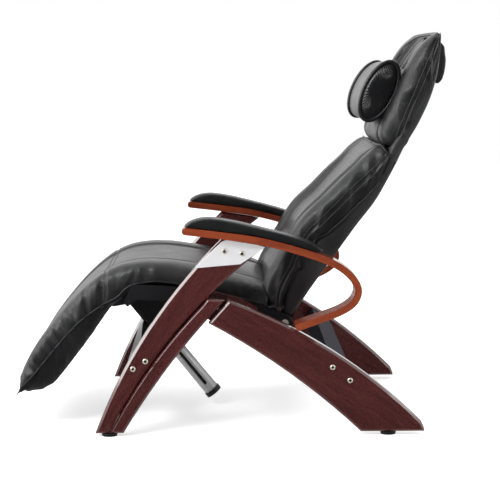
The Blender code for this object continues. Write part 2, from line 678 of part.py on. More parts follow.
# ---------------------------------------------------------------- back
BACK_LINE = spline([(0.188, 0.3250), (0.253, 0.4230), (0.3200, 0.5160), (0.3750, 0.5950),
                    (0.4330, 0.6720), (0.4790, 0.7560), (0.5140, 0.8240), (0.5510, 0.8900),
                    (0.5830, 0.9600), (0.6030, 1.0250), (0.6100, 1.0900)], 3)
BACK_FRONT = spline([(0.1600, 0.3560), (0.1300, 0.3950), (0.1240, 0.4280), (0.1360, 0.4660),
                     (0.1620, 0.5290), (0.1960, 0.5910), (0.2250, 0.6300), (0.2710, 0.6720),
                     (0.3250, 0.7270), (0.3700, 0.7690), (0.4070, 0.8080), (0.4380, 0.8280),
                     (0.4640, 0.8150)], 2)
HEAD_FRONT = [(0.4700, 0.8330), (0.4540, 0.8380), (0.4450, 0.8580), (0.4490, 0.8850),
              (0.4670, 0.9250), (0.5260, 1.0480), (0.5440, 1.0800), (0.5700, 1.1160),
              (0.5940, 1.1370), (0.6060, 1.1400)]
UPHOLSTERY_DEPTH = COVER_T + BACK_RAIL_DEPTH + 0.004
BACK_TUBES = (0.10, 0.36, 0.66, 0.93)   # parts of the rail's length


def back_rail_outline():
    """The rails up to the neck, and around the back's pivot at their lower end."""
    line = [p for p in BACK_LINE if p.y < NECK_Z]
    rear = shifted(line, COVER_T + 0.001)
    front = shifted(line, COVER_T + 0.001 + BACK_RAIL_DEPTH)
    start = fan(BACK_PIVOT, 0.018, 200, 330, 6)
    return [tuple(p) for p in reversed(front)] + start + [tuple(p) for p in rear[1:]]


def head_rail_outline():
    """The rails above the neck; they start lower down, where they are welded on."""
    line = [p for p in BACK_LINE if NECK_Z - HEAD_RAIL_OVERLAP < p.y < HEAD_RAIL_TOP_Z]
    return strip(line, COVER_T + 0.002, COVER_T + BACK_RAIL_DEPTH)


def build_back_frame():
    frame = prism("back_frame", back_rail_outline(), INNER_RAIL_Y, "black_steel", -1, BACK_PIVOT)
    line = [p for p in BACK_LINE if p.y < HEAD_RAIL_TOP_Z]
    middle = shifted(line, COVER_T + 0.001 + BACK_RAIL_DEPTH / 2)
    places = [middle[round(part * (len(middle) - 1))] for part in BACK_TUBES]
    tubes = []
    for place in places:
        end = sum(INNER_RAIL_Y if place.y < NECK_Z else HEAD_RAIL_Y) / 2
        tubes.append(rod_y("tube", place, BACK_TUBE_R, (-end, end), None, 1, 16))
    rails = [prism("rail", back_rail_outline(), INNER_RAIL_Y),
             prism("rail", head_rail_outline(), HEAD_RAIL_Y, None, -1),
             prism("rail", head_rail_outline(), HEAD_RAIL_Y)]
    join(frame, tubes[0], *rails, *tubes[1:])
    lever_end = back_link_pin()
    lever = (fan(lever_end, 0.009, 170, 350, 8)
             + [(BACK_PIVOT.x + 0.014, BACK_PIVOT.y), (BACK_PIVOT.x - 0.014, BACK_PIVOT.y)])
    join(frame, prism("lever", lever, INNER_RAIL_Y),
         rod_y("link_pin", lever_end, LINK_PIN_R, LINK_PIN_Y, None, 1, 16))
    cut(frame, rod_y("hole", BACK_PIVOT, PIN_HOLE_R, THROUGH_Y, None, 1, 24))


def build_back():
    build_back_frame()
    lower = [p for p in BACK_LINE[2:] if p.y < NECK_Z]
    upper = [p for p in BACK_LINE if p.y > NECK_Z - 0.03]
    cover = prism("back_cover", strip(lower, 0, COVER_T), (-COVER_HALF, COVER_HALF), "leather", 1,
                  BACK_PIVOT)
    join(cover, prism("upper", strip(upper, 0.0006, COVER_T - 0.0006),
                      (-HEAD_COVER_HALF, HEAD_COVER_HALF)))
    line = shifted(BACK_LINE, UPHOLSTERY_DEPTH)
    lower = [tuple(p) for p in line if 0.375 < p.y < 0.800]
    upper = [tuple(p) for p in line if 0.850 < p.y]
    pad("back_cushion", lower + [tuple(p) for p in reversed(BACK_FRONT)], BACK_HALF, origin=BACK_PIVOT)
    pad("head_cushion", upper + list(reversed(HEAD_FRONT)), HEAD_HALF, origin=BACK_PIVOT)
    for side, sign in SIDES:
        pin = rod_y(f"{side}_back_pivot", BACK_PIVOT, PIN_R, BACK_PIN_Y, "bolt_steel", sign, 24,
                    BACK_PIVOT)
        join(pin, rod_y("head", BACK_PIVOT, BACK_PIN_HEAD[0],
                        (SEAT_RAIL_Y[1] + GAP, BACK_PIN_HEAD[1]), None, sign))
        smooth(pin)


# ---------------------------------------------------------------- head pillow
PILLOW_CENTRE = Vector((0.4465, 0.9835))
PILLOW_ANGLE = math.atan2(0.132, 0.065)
PILLOW_SEMI = (0.0915, 0.0385)
PILLOW_HALF = 0.158
STRAP_LINE = [(0.5275, 1.0510), (0.5440, 1.0800), (0.5700, 1.1160), (0.5940, 1.1370),
              (0.6070, 1.1405), (0.6160, 1.1370)]
STRAP_T = 0.0014
STRAP_LIFT = 0.0006
STRAP_HALF = 0.022
COUNTERWEIGHT_HALF = 0.085
COUNTERWEIGHT = [(0.6190, 1.1180), (0.6130, 1.0200), (0.6210, 1.0060), (0.6330, 1.0030),
                 (0.6440, 1.0160), (0.6510, 1.0400), (0.6540, 1.0730), (0.6480, 1.1140),
                 (0.6350, 1.1290), (0.6240, 1.1270)]


def pillow_outline(steps=28):
    along = Vector((math.cos(PILLOW_ANGLE), math.sin(PILLOW_ANGLE)))
    across = Vector((-along.y, along.x))
    outline = []
    for i in range(steps):
        angle = 2 * math.pi * i / steps
        outline.append(tuple(PILLOW_CENTRE + along * PILLOW_SEMI[0] * math.cos(angle)
                             + across * PILLOW_SEMI[1] * math.sin(angle)))
    return outline


def build_pillow():
    pad("head_pillow", pillow_outline(), PILLOW_HALF, 0.014, 0.012)
    line = [Vector(p) for p in STRAP_LINE]
    prism("pillow_strap", strip(line, STRAP_LIFT, STRAP_LIFT + STRAP_T), (-STRAP_HALF, STRAP_HALF),
          "webbing")
    pad("pillow_counterweight", COUNTERWEIGHT, COUNTERWEIGHT_HALF, 0.004, 0.002)


def main():
    clear_scene()
    for side, sign in SIDES:
        build_boards(side, sign)
        build_bracket(side, sign)
        build_bolts(side, sign)
        build_arm(side, sign)
        build_glides(side, sign)
        build_seat_pivot(side, sign)
    build_crossmembers()
    build_actuator()
    build_screw_nut()
    build_seat()
    build_cranks()
    build_leg_rest()
    build_knee_pad()
    build_link_rod()
    build_back()
    build_pillow()
    for obj in bpy.data.objects:
        obj.location.x -= DATUM_X


main()
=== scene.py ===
"""Looks of a powered zero gravity recliner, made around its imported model.

The upholstery is lofted from guide lines, puffed up by cloth simulation between its
seams, and finished with piping and stitches. The wooden, metal and plastic parts keep
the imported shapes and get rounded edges. Outlines are (x, z) points in the plane of the
chair's side, measured like the source's outlines; DATUM_X moves them into the frame.
Lengths are in metres, and in the tables of stations in millimetres.
"""

import json
import math

import bmesh
import bpy
import numpy as np
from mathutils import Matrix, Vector, noise

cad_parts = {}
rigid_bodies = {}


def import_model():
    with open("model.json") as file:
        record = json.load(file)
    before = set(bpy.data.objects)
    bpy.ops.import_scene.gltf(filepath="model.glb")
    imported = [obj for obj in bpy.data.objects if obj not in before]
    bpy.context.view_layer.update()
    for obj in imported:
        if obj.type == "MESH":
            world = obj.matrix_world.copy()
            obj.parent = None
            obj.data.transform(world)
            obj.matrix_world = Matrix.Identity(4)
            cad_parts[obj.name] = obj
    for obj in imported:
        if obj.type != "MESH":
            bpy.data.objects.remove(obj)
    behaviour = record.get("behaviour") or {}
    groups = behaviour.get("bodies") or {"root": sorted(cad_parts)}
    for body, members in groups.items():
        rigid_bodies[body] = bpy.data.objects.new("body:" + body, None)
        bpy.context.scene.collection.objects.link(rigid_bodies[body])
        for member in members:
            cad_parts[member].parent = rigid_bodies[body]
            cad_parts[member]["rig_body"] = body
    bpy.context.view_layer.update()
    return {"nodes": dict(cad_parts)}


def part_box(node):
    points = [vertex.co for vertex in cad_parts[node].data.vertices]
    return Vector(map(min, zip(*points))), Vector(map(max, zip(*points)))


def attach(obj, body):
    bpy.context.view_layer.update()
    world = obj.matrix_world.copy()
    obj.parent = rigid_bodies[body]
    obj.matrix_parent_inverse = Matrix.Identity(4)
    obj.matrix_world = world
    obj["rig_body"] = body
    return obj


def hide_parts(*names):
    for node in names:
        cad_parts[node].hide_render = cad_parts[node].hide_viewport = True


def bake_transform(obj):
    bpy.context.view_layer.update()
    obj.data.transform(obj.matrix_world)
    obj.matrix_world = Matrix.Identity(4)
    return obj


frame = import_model()
NODES = frame["nodes"]

DATUM_X = 0.0195                 # x of the frame's origin in the outlines
GRID = 0.0085                    # spacing of the upholstery's mesh before it is subdivided
SIDES = ("left", "right")


# ---------------------------------------------------------------- materials
PORE_DEPTH = 0.00012             # depths of bumps
BRUSH_DEPTH = 0.00004
PEEL_DEPTH = 0.00008
WEAVE_DEPTH = 0.0004


def shader_material(name, colour, roughness, metallic=0.0, coat=0.0, sheen=0.0, coat_ior=1.5):
    """A material whose plain values are set on its Principled shader."""
    material = bpy.data.materials.new(name)
    material.use_nodes = True
    shader = material.node_tree.nodes["Principled BSDF"]
    for key, value in (("Base Color", (*colour, 1.0)), ("Roughness", roughness),
                       ("Metallic", metallic), ("Coat Weight", coat), ("Coat Roughness", 0.12),
                       ("Coat IOR", coat_ior), ("Sheen Weight", sheen)):
        shader.inputs[key].default_value = value
    return material, shader


RAMP_ENDS = ("From Min", "From Max", "To Min", "To Max")


def add_node(tree, kind, inputs=None, **settings):
    """A shader node whose inputs hold the given values, or are linked to the given sockets."""
    node = tree.nodes.new(kind)
    for key, value in settings.items():
        setattr(node, key, value)
    for key, value in (inputs or {}).items():
        if isinstance(value, bpy.types.NodeSocket):
            tree.links.new(value, node.inputs[key])
        else:
            node.inputs[key].default_value = value
    return node


class Nodes:
    """Short calls for the shader nodes that the materials below are built from."""

    def __init__(self, material, stretch=(1, 1, 1), turn=(0, 0, 0), along=None):
        self.tree = material.node_tree
        if along:
            start = self.add("ShaderNodeAttribute", attribute_name=along).outputs["Vector"]
        else:
            start = self.add("ShaderNodeTexCoord").outputs["Object"]
        turned = self.add("ShaderNodeMapping", {"Rotation": turn, "Vector": start})
        mapping = self.add("ShaderNodeMapping",
                           {"Scale": stretch, "Vector": turned.outputs["Vector"]})
        self.place = mapping.outputs["Vector"]

    def add(self, kind, inputs=None, **settings):
        return add_node(self.tree, kind, inputs, **settings)

    def link(self, source, target):
        self.tree.links.new(source, target)

    def noise(self, scale, detail=3.0, rough=0.5):
        return self.add("ShaderNodeTexNoise", {
            "Scale": scale, "Detail": detail, "Roughness": rough, "Vector": self.place,
        }).outputs["Fac"]

    def cells(self, scale):
        """Distance from the edges of small cells."""
        return self.add("ShaderNodeTexVoronoi", {"Scale": scale, "Vector": self.place},
                        feature="DISTANCE_TO_EDGE").outputs["Distance"]

    def ramp(self, value, low, high, to_low=0.0, to_high=1.0):
        ends = dict(zip(RAMP_ENDS, (low, high, to_low, to_high)))
        return self.add("ShaderNodeMapRange", {"Value": value, **ends}).outputs["Result"]

    def maths(self, operation, a, b):
        return self.add("ShaderNodeMath", {0: a, 1: b}, operation=operation).outputs["Value"]

    def colours(self, value, low, high):
        return self.add("ShaderNodeMix", {"Factor": value, "A": (*low, 1.0), "B": (*high, 1.0)},
                        data_type="RGBA").outputs["Result"]

    def bump(self, height, depth, under=None):
        node = self.add("ShaderNodeBump", {"Strength": 1.0, "Distance": depth, "Height": height})
        if under:
            self.link(under, node.inputs["Normal"])
        return node.outputs["Normal"]


def leather(name, dark, light, rough=(0.27, 0.36), grain=0.00022, crease=0.00018):
    """Full-grain leather: fine pebbles, soft creases and uneven gloss."""
    material, shader = shader_material(name, dark, rough[0], coat=0.12)
    shader.inputs["Specular IOR Level"].default_value = 0.40
    shader.inputs["Coat Roughness"].default_value = 0.25
    n = Nodes(material)
    cloud = n.noise(9.0, 4.0)
    n.link(n.colours(n.ramp(cloud, 0.35, 0.7), dark, light), shader.inputs["Base Color"])
    n.link(n.ramp(n.noise(14.0, 3.0), 0.3, 0.75, *rough), shader.inputs["Roughness"])
    creases = n.bump(n.noise(46.0, 3.0), crease)
    pebbles = n.bump(n.ramp(n.cells(520.0), 0.0, 0.22), grain, creases)
    n.link(pebbles, shader.inputs["Normal"])
    return material


def wood(name, dark, light, turn=0.0, rough=(0.20, 0.32), coat=0.0, grain=1.0, along=None,
         coat_ior=1.5):
    """Wood with its grain along one direction in the side plane, or along an attribute."""
    material, shader = shader_material(name, dark, rough[0], coat=coat, coat_ior=coat_ior)
    n = Nodes(material, stretch=(1.0, 8.0, 11.0), turn=(0, turn, 0), along=along)
    figure = n.noise(7.0, 6.0, 0.6)
    pores = n.noise(95.0, 3.0, 0.7)
    blend = n.maths("ADD", n.maths("MULTIPLY", figure, 0.75),
                    n.maths("MULTIPLY", pores, 0.25 * grain))
    n.link(n.colours(n.ramp(blend, 0.34, 0.66), dark, light), shader.inputs["Base Color"])
    n.link(n.ramp(pores, 0.3, 0.7, *rough), shader.inputs["Roughness"])
    n.link(n.bump(pores, PORE_DEPTH * grain), shader.inputs["Normal"])
    return material


def metal(name, colour, rough, metallic, brushed=True, turn=0.0):
    """Metal with fine lines across it, or with an even finish."""
    material, shader = shader_material(name, colour, rough, metallic=metallic)
    n = Nodes(material, stretch=(1.0, 30.0, 30.0) if brushed else (1, 1, 1), turn=(0, turn, 0))
    lines = n.noise(60.0, 3.0)
    n.link(n.ramp(lines, 0.3, 0.7, rough * 0.75, rough * 1.3), shader.inputs["Roughness"])
    n.link(n.bump(lines, BRUSH_DEPTH), shader.inputs["Normal"])
    return material


def painted(name, colour, rough, specular=0.5):
    """Powder coat or moulded plastic: a fine orange peel over an even colour."""
    material, shader = shader_material(name, colour, rough)
    shader.inputs["Specular IOR Level"].default_value = specular
    n = Nodes(material)
    lighter = tuple(min(1.0, c * 1.25 + 0.004) for c in colour)
    n.link(n.colours(n.noise(14.0, 4.0), colour, lighter), shader.inputs["Base Color"])
    peel = n.noise(420.0, 2.0)
    n.link(n.ramp(peel, 0.3, 0.7, rough * 0.85, rough * 1.2), shader.inputs["Roughness"])
    n.link(n.bump(peel, PEEL_DEPTH), shader.inputs["Normal"])
    return material


def webbing_material():
    """Woven strap."""
    material, shader = shader_material("webbing", (0.012, 0.012, 0.013), 0.8, sheen=0.25)
    n = Nodes(material)
    weave = n.add("ShaderNodeTexWave", {"Scale": 320.0, "Vector": n.place},
                  bands_direction="DIAGONAL")
    n.link(n.bump(weave.outputs["Fac"], WEAVE_DEPTH), shader.inputs["Normal"])
    return material


BLACK = (0.0060, 0.0062, 0.0070)
SOFT_BLACK = (0.0120, 0.0123, 0.0135)
LEATHER = leather("leather", BLACK, SOFT_BLACK)
PILLOW_LEATHER = leather("pillow_leather", BLACK, SOFT_BLACK, grain=0.00006, crease=0.00010)
COVER_LEATHER = leather("cover_leather", (0.013, 0.0133, 0.0145), (0.024, 0.0245, 0.0265),
                        rough=(0.32, 0.44))
ARM_LEATHER = leather("arm_leather", (0.006, 0.0065, 0.007), (0.012, 0.0125, 0.014),
                      rough=(0.30, 0.42), grain=0.0002, crease=0.0002)
PIPING = leather("piping_leather", (0.010, 0.010, 0.011), (0.016, 0.016, 0.018),
                 rough=(0.26, 0.38), grain=0.0001, crease=0.0001)
THREAD, _ = shader_material("thread", (0.090, 0.090, 0.095), 0.6, sheen=0.3)
GRAIN_TURNS = {"front_leg": 0.95, "leg_brace": 0.95, "rear_leg": -0.59, "leg_batten": 0.9}
MAHOGANY = {
    part: wood(f"mahogany_{part}", (0.058, 0.0110, 0.0105), (0.100, 0.0205, 0.0180), turn,
               coat=1.0, grain=0.45, coat_ior=1.8)
    for part, turn in GRAIN_TURNS.items()
}
CHERRY = wood("cherry", (0.175, 0.028, 0.009), (0.300, 0.056, 0.016),
              rough=(0.18, 0.28), coat=0.6, grain=0.8, along="grain")
SATIN_METAL = metal("satin_aluminium", (0.90, 0.90, 0.92), 0.42, metallic=0.35)
TUBE_METAL = metal("tube_aluminium", (0.50, 0.50, 0.50), 0.36, turn=0.9, metallic=0.40)
STEEL = metal("polished_steel", (0.86, 0.81, 0.70), 0.24, brushed=False, metallic=0.6)
GREY_STEEL = painted("grey_steel", (0.44, 0.46, 0.50), 0.38)
BLACK_STEEL = painted("black_steel", (0.006, 0.006, 0.008), 0.55, specular=0.25)
MATT_STEEL = painted("matt_black_steel", (0.012, 0.012, 0.020), 0.7, specular=0.08)
BLACK_PLASTIC = painted("black_plastic", (0.009, 0.009, 0.010), 0.42)
# near-black for the bolts' sockets: painted shade inside the shallow hexagon recess
SOCKET_SHADE = painted("bolt_socket_shade", (0.006, 0.006, 0.006), 0.6)
OILED_STEEL = painted("oiled_steel", (0.030, 0.030, 0.030), 0.4, specular=0.3)
PLYWOOD = wood("plywood", (0.020, 0.016, 0.014), (0.034, 0.027, 0.022), 0.1,
               rough=(0.6, 0.75))
WEBBING = webbing_material()


# ---------------------------------------------------------------- curves and meshes
def smooth_rows(rows, steps=10):
    """Rows of numbers on a smooth curve through the given rows."""
    rows = np.array(rows, float)
    padded = np.vstack([2 * rows[0] - rows[1], rows, 2 * rows[-1] - rows[-2]])
    curve = []
    for p0, p1, p2, p3 in zip(padded, padded[1:], padded[2:], padded[3:]):
        for i in range(steps):
            t = i / steps
            curve.append(0.5 * (2 * p1 + (p2 - p0) * t + (2 * p0 - 5 * p1 + 4 * p2 - p3) * t * t
                                + (3 * p1 - p0 - 3 * p2 + p3) * t ** 3))
    return np.array(curve + [rows[-1]])


def lengths_along(points):
    """How far along a line each of its points is."""
    steps = np.linalg.norm(np.diff(points, axis=0), axis=1)
    return np.concatenate([[0], np.cumsum(steps)])


def even_rows(rows, along, count):
    """count rows, evenly spaced by how far along their curve the given rows are."""
    places = np.linspace(0, along[-1], count)
    return np.stack([np.interp(places, along, column) for column in rows.T], axis=1)


def ring_faces(rings, size, base=0, closed=False):
    """Quads between rings of size vertices each, of which the first begins at base."""
    faces = []
    for r in range(rings if closed else rings - 1):
        near, far = base + r * size, base + (r + 1) % rings * size
        for k in range(size):
            m = (k + 1) % size
            faces.append((near + k, near + m, far + m, far + k))
    return faces


def end_faces(rings, size, base=0):
    """A face on the first ring and one on the last."""
    return [tuple(range(start, start + size)) for start in (base, base + (rings - 1) * size)]


def circle(size):
    """Angles of size points round a ring."""
    return [2 * math.pi * k / size for k in range(size)]


def new_object(name, verts, faces, material):
    mesh = bpy.data.meshes.new(name)
    mesh.from_pydata([tuple(v) for v in verts], [], [tuple(f) for f in faces])
    mesh.materials.append(material)
    bm = bmesh.new()
    bm.from_mesh(mesh)
    bmesh.ops.recalc_face_normals(bm, faces=bm.faces)
    bm.to_mesh(mesh)
    bm.free()
    mesh.shade_smooth()
    obj = bpy.data.objects.new(name, mesh)
    bpy.context.scene.collection.objects.link(obj)
    return obj


def subdivide(obj):
    """One level of subdivision."""
    modifier = obj.modifiers.new("fine", "SUBSURF")
    modifier.levels = 1
    modifier.render_levels = 1


STEP_SHARE = 0.06                # width of the step down to a recessed centre


class Loft:
    """A closed cushion: a section of panels carried along three guide lines.

    stations  rows of (front x, z, seam x, z, rear x, z, half width, recess of the centre),
              in millimetres
    panels    for one half, from the middle of the front to the middle of the rear: each
              panel is a list of (share of the half width, w), where w is 1 on the front
              guide, 0 on the seam guide and -1 on the rear guide. Panels meet in seams.
    centre    share of the half width up to which the front is recessed
    """

    def __init__(self, stations, panels, centre, spacing=GRID):
        dense = smooth_rows(np.array(stations) / 1000)
        along = lengths_along(dense[:, :2])
        self.length = along[-1]
        self.rows = even_rows(dense, along, max(8, round(self.length / spacing)))
        self.centre = centre
        self.section = []
        self.seams = [0]
        half = float(np.mean(self.rows[:, 6]))
        across = self.rows[:, 0:2] - self.rows[:, 2:4]
        depth = float(np.mean(np.hypot(across[:, 0], across[:, 1])))
        for panel in panels:
            dense = smooth_rows(panel, 8)
            along = lengths_along(dense * np.array([half, depth]))
            points = even_rows(dense, along, max(3, round(along[-1] / spacing) + 1))
            self.section += list(points if not self.section else points[1:])
            self.seams.append(len(self.section) - 1)
        self.build()

    def point(self, row, share, w):
        """A point of the right half, from a station's row and a place in the section."""
        fx, fz, sx, sz, rx, rz, half, recess = row
        front, seam, rear = np.array([fx, fz]), np.array([sx, sz]), np.array([rx, rz])
        depth = max(float(np.linalg.norm(front - seam)), 1e-6)
        if w >= 0:
            inside = np.clip((self.centre - share) / STEP_SHARE, 0, 1)
            w = w - recess / depth * inside * inside * (3 - 2 * inside)
            place = seam + (front - seam) * w
        else:
            place = seam + (seam - rear) * w
        return [place[0] - DATUM_X, share * half, place[1]]

    def build(self):
        """Vertices and faces: a ring at each station, and strips that close the two ends."""
        half = len(self.section)
        ring = [(i, 1) for i in range(half)] + [(i, -1) for i in range(half - 2, 0, -1)]
        size = self.ring_size = len(ring)
        verts = []
        for row in self.rows:
            for i, sign in ring:
                x, y, z = self.point(row, *self.section[i])
                verts.append((x, sign * y, z))
        self.verts = np.array(verts)
        self.faces = ring_faces(len(self.rows), size)
        for start in (0, (len(self.rows) - 1) * size):
            for i in range(half - 1):
                corners = [start + k for k in (i, i + 1, size - i - 1, (size - i) % size)]
                unique = list(dict.fromkeys(corners))
                if len(unique) >= 3:
                    self.faces.append(unique)

    def index(self, station, i, sign):
        """Vertex number at a station, a place in the half section and a side."""
        k = i if sign > 0 or i in (0, len(self.section) - 1) else self.ring_size - i
        return station * self.ring_size + k

    def places(self):
        """Station number, place in the half section and side of every vertex."""
        k = np.arange(len(self.verts)) % self.ring_size
        station = np.arange(len(self.verts)) // self.ring_size
        half = len(self.section) - 1
        return station, np.where(k <= half, k, self.ring_size - k), np.where(k <= half, 1, -1)


def normals_of(verts, obj):
    """Normals at the points verts, which are joined like the vertices of obj."""
    normals = np.zeros_like(verts)
    for polygon in obj.data.polygons:
        corners = tuple(polygon.vertices)
        a, b, c = (verts[k] for k in corners[:3])
        n = np.cross(b - a, c - a)
        for k in corners:
            normals[k] += n
    return normals / np.maximum(np.linalg.norm(normals, axis=1, keepdims=True), 1e-12)


CLOTH_FRAMES = 20
CLOTH_PRESSURE = 2.0
CLOTH_STIFFNESS = 12.0
CLOTH_GIVE = 0.4                 # stiffness when squeezed or sheared, next to that when pulled
CLOTH_BENDING = 0.4
CLOTH_SLACK = -0.16              # shrinkage where the leather is larger than its panel
CLOTH_REACH = 0.006              # the furthest that a point may move


def puff(obj, pin, excess):
    """Cloth simulation of a closed cover under pressure, held at its pinned points.

    pin and excess are weights per vertex: how firmly a point is held, and how much the
    leather there is larger than its panel, which makes it wrinkle."""
    rest = np.array([v.co for v in obj.data.vertices])
    for label, weights in (("pin", pin), ("excess", excess)):
        group = obj.vertex_groups.new(name=label)
        for i, weight in enumerate(weights):
            if weight > 0:
                group.add([i], float(weight), "REPLACE")
    modifier = obj.modifiers.new("cloth", "CLOTH")
    settings = modifier.settings
    settings.quality = 6
    settings.mass = 0.15
    settings.tension_stiffness = CLOTH_STIFFNESS
    settings.compression_stiffness = CLOTH_STIFFNESS * CLOTH_GIVE
    settings.shear_stiffness = CLOTH_STIFFNESS * CLOTH_GIVE
    settings.bending_stiffness = CLOTH_BENDING
    settings.air_damping = 4.0
    settings.use_pressure = True
    settings.uniform_pressure_force = CLOTH_PRESSURE
    settings.vertex_group_mass = "pin"
    settings.pin_stiffness = 2.0
    settings.vertex_group_shrink = "excess"
    settings.shrink_min = 0.0
    settings.shrink_max = CLOTH_SLACK
    settings.effector_weights.gravity = 0.0
    modifier.collision_settings.use_self_collision = False
    modifier.point_cache.frame_start = 1
    modifier.point_cache.frame_end = CLOTH_FRAMES
    for step in range(1, CLOTH_FRAMES + 1):
        bpy.context.scene.frame_set(step)
    evaluated = obj.evaluated_get(bpy.context.evaluated_depsgraph_get())
    moved = np.array([v.co for v in evaluated.data.vertices])
    obj.modifiers.remove(modifier)
    obj.vertex_groups.clear()
    bpy.context.scene.frame_set(1)
    change = moved - rest
    size = np.linalg.norm(change, axis=1, keepdims=True)
    change *= np.minimum(1.0, CLOTH_REACH / np.maximum(size, 1e-9))
    moved = rest + change * (1 - np.array(pin)[:, None])
    obj.data.vertices.foreach_set("co", moved.ravel())
    obj.data.update()
    return moved


CORD_SKEW = Vector((0.2, 0.9, 0.35))      # directions that no cord or stitch runs along
STITCH_SKEW = Vector((0.15, 0.9, 0.4))


def tube(name, path, radius, sides=8, closed=False):
    """A round piping or cord of leather along a path of points."""
    path = np.array(path)
    count = len(path)
    verts = []
    for i in range(count):
        before = path[i - 1] if closed or i else path[0]
        after = path[(i + 1) % count] if closed or i < count - 1 else path[-1]
        along = Vector(after - before).normalized()
        across = along.cross(CORD_SKEW).normalized()
        up = along.cross(across)
        size = radius if closed or 0 < i < count - 1 else radius * 0.5
        for angle in circle(sides):
            out = across * math.cos(angle) + up * math.sin(angle)
            verts.append(Vector(path[i]) + out * size)
    faces = ring_faces(count, sides, closed=closed)
    if not closed:
        faces += end_faces(count, sides)
    return new_object(name, verts, faces, PIPING)


def joined(name, objects):
    """One object from several, which are used up."""
    verts, faces = [], []
    for obj in objects:
        base = len(verts)
        verts += [tuple(v.co) for v in obj.data.vertices]
        faces += [tuple(base + i for i in p.vertices) for p in obj.data.polygons]
    material = objects[0].data.materials[0]
    for obj in objects:
        bpy.data.objects.remove(obj, do_unlink=True)
    return new_object(name, verts, faces, material)


STITCH_PITCH = 0.0068
STITCH_START = 0.001
STITCH_LENGTH = 0.0046
STITCH_RADIUS = 0.00075
STITCH_SIDES = 5
STITCH_RINGS = ((0.0, 0.35), (0.2, 1.0), (0.8, 1.0), (1.0, 0.35))   # place along it, thickness


def stitches(name, lines):
    """Rows of short raised thread stitches along lines of points."""
    verts, faces = [], []
    for line in lines:
        line = np.array(line)
        along = lengths_along(line)
        for k in range(int(along[-1] / STITCH_PITCH)):
            start = k * STITCH_PITCH + STITCH_START
            ends = (start, start + STITCH_LENGTH)
            a, b = (Vector([np.interp(e, along, line[:, c]) for c in range(3)]) for e in ends)
            direction = (b - a).normalized()
            across = direction.cross(STITCH_SKEW).normalized()
            up = direction.cross(across)
            base = len(verts)
            for share, size in STITCH_RINGS:
                for angle in circle(STITCH_SIDES):
                    out = across * math.cos(angle) + up * math.sin(angle)
                    verts.append(a.lerp(b, share) + out * STITCH_RADIUS * size)
            faces += ring_faces(len(STITCH_RINGS), STITCH_SIDES, base)
            faces += end_faces(len(STITCH_RINGS), STITCH_SIDES, base)
    return new_object(name, verts, faces, THREAD)


FLAT_ANGLE = math.radians(0.5)
BEVEL_ANGLE = math.radians(35)
SHARP_ANGLE = math.radians(40)


def refined(node, material, bevel=0.0, *, segments=3, dissolve=True):
    """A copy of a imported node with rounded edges, shown in its place."""
    source = NODES[node]
    mesh = source.data.copy()
    bm = bmesh.new()
    bm.from_mesh(mesh)
    bmesh.ops.remove_doubles(bm, verts=bm.verts, dist=1e-6)
    if dissolve:
        bmesh.ops.dissolve_limit(bm, angle_limit=FLAT_ANGLE, verts=bm.verts, edges=bm.edges)
    bm.to_mesh(mesh)
    bm.free()
    for attribute in ("custom_normal", "sharp_edge", "sharp_face"):
        if attribute in mesh.attributes:
            mesh.attributes.remove(mesh.attributes[attribute])
    mesh.materials.clear()
    mesh.materials.append(material)
    obj = bpy.data.objects.new(f"{node}_finished", mesh)
    bpy.context.scene.collection.objects.link(obj)
    if bevel:
        modifier = obj.modifiers.new("edges", "BEVEL")
        modifier.width = bevel
        modifier.segments = segments
        modifier.limit_method = "ANGLE"
        modifier.angle_limit = BEVEL_ANGLE
        modifier.harden_normals = False
    mesh.shade_smooth()
    mesh.set_sharp_from_angle(angle=SHARP_ANGLE)
    stand_for(obj, node)
    return obj


def stand_for(obj, node):
    """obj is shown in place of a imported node, and rides with its body."""
    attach(obj, NODES[node]["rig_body"])
    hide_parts(node)


# ---------------------------------------------------------------- seat and leg rest
SEAT_STATIONS = [
    # front x, z, seam x, z, under x, z, half, recess
    (-616, 103, -615.5, 102, -614, 101, 236, 0),
    (-614.5, 126, -606, 121, -602, 108.5, 247, 0),
    (-606, 164, -584, 144, -576, 110.5, 254, 1),
    (-591, 197, -560, 171, -546, 115, 257, 2),
    (-564, 242, -534, 203, -513, 132, 258, 3),
    (-533, 286, -503, 241, -483, 166, 258, 4),
    (-493, 336, -467, 283, -443, 217, 258, 4),
    (-451, 384, -432, 320, -408, 264, 258, 4),
    (-408, 425, -398, 347, -372, 315, 258, 4),
    (-362, 459, -362, 372, -338, 362, 258, 4),
    (-312, 482, -318, 396, -298, 386, 258, 4),
    (-262, 492, -282, 428, -262, 408, 258, 4),
    (-210, 494, -220, 440, -220, 436, 258, 4),
    (-155, 489.5, -165, 437, -164, 432.5, 258, 4),
    (-100, 481, -108, 427, -108, 423.5, 258, 4),
    (-45, 470, -53, 415, -52, 412, 260, 4),
    (5, 454, -2, 402, -2, 393, 262, 3),
    (50, 442, 45, 390, 45, 381, 264, 2),
    (88, 432, 82, 380, 80, 369, 265, 1),
    (112, 420, 106, 374, 98, 358, 264, 0),
    (126, 398, 118, 368, 108, 350, 258, 0),
]
SEAT_PANELS = [
    [(0.0, 0.985), (0.25, 0.985), (0.50, 0.98), (0.565, 0.955)],
    [(0.565, 0.955), (0.62, 0.985), (0.74, 1.0), (0.85, 0.975), (0.925, 0.87), (0.965, 0.68),
     (0.985, 0.42), (0.995, 0.2), (1.0, 0.0)],
    [(1.0, 0.0), (1.0, -0.25), (0.985, -0.6), (0.94, -0.9), (0.86, -1.0), (0.4, -1.0), (0.0, -1.0)],
]
SEAT_CENTRE = 0.565              # share of the half width between the seams of the top
KNEE_SEAM_X = -0.352


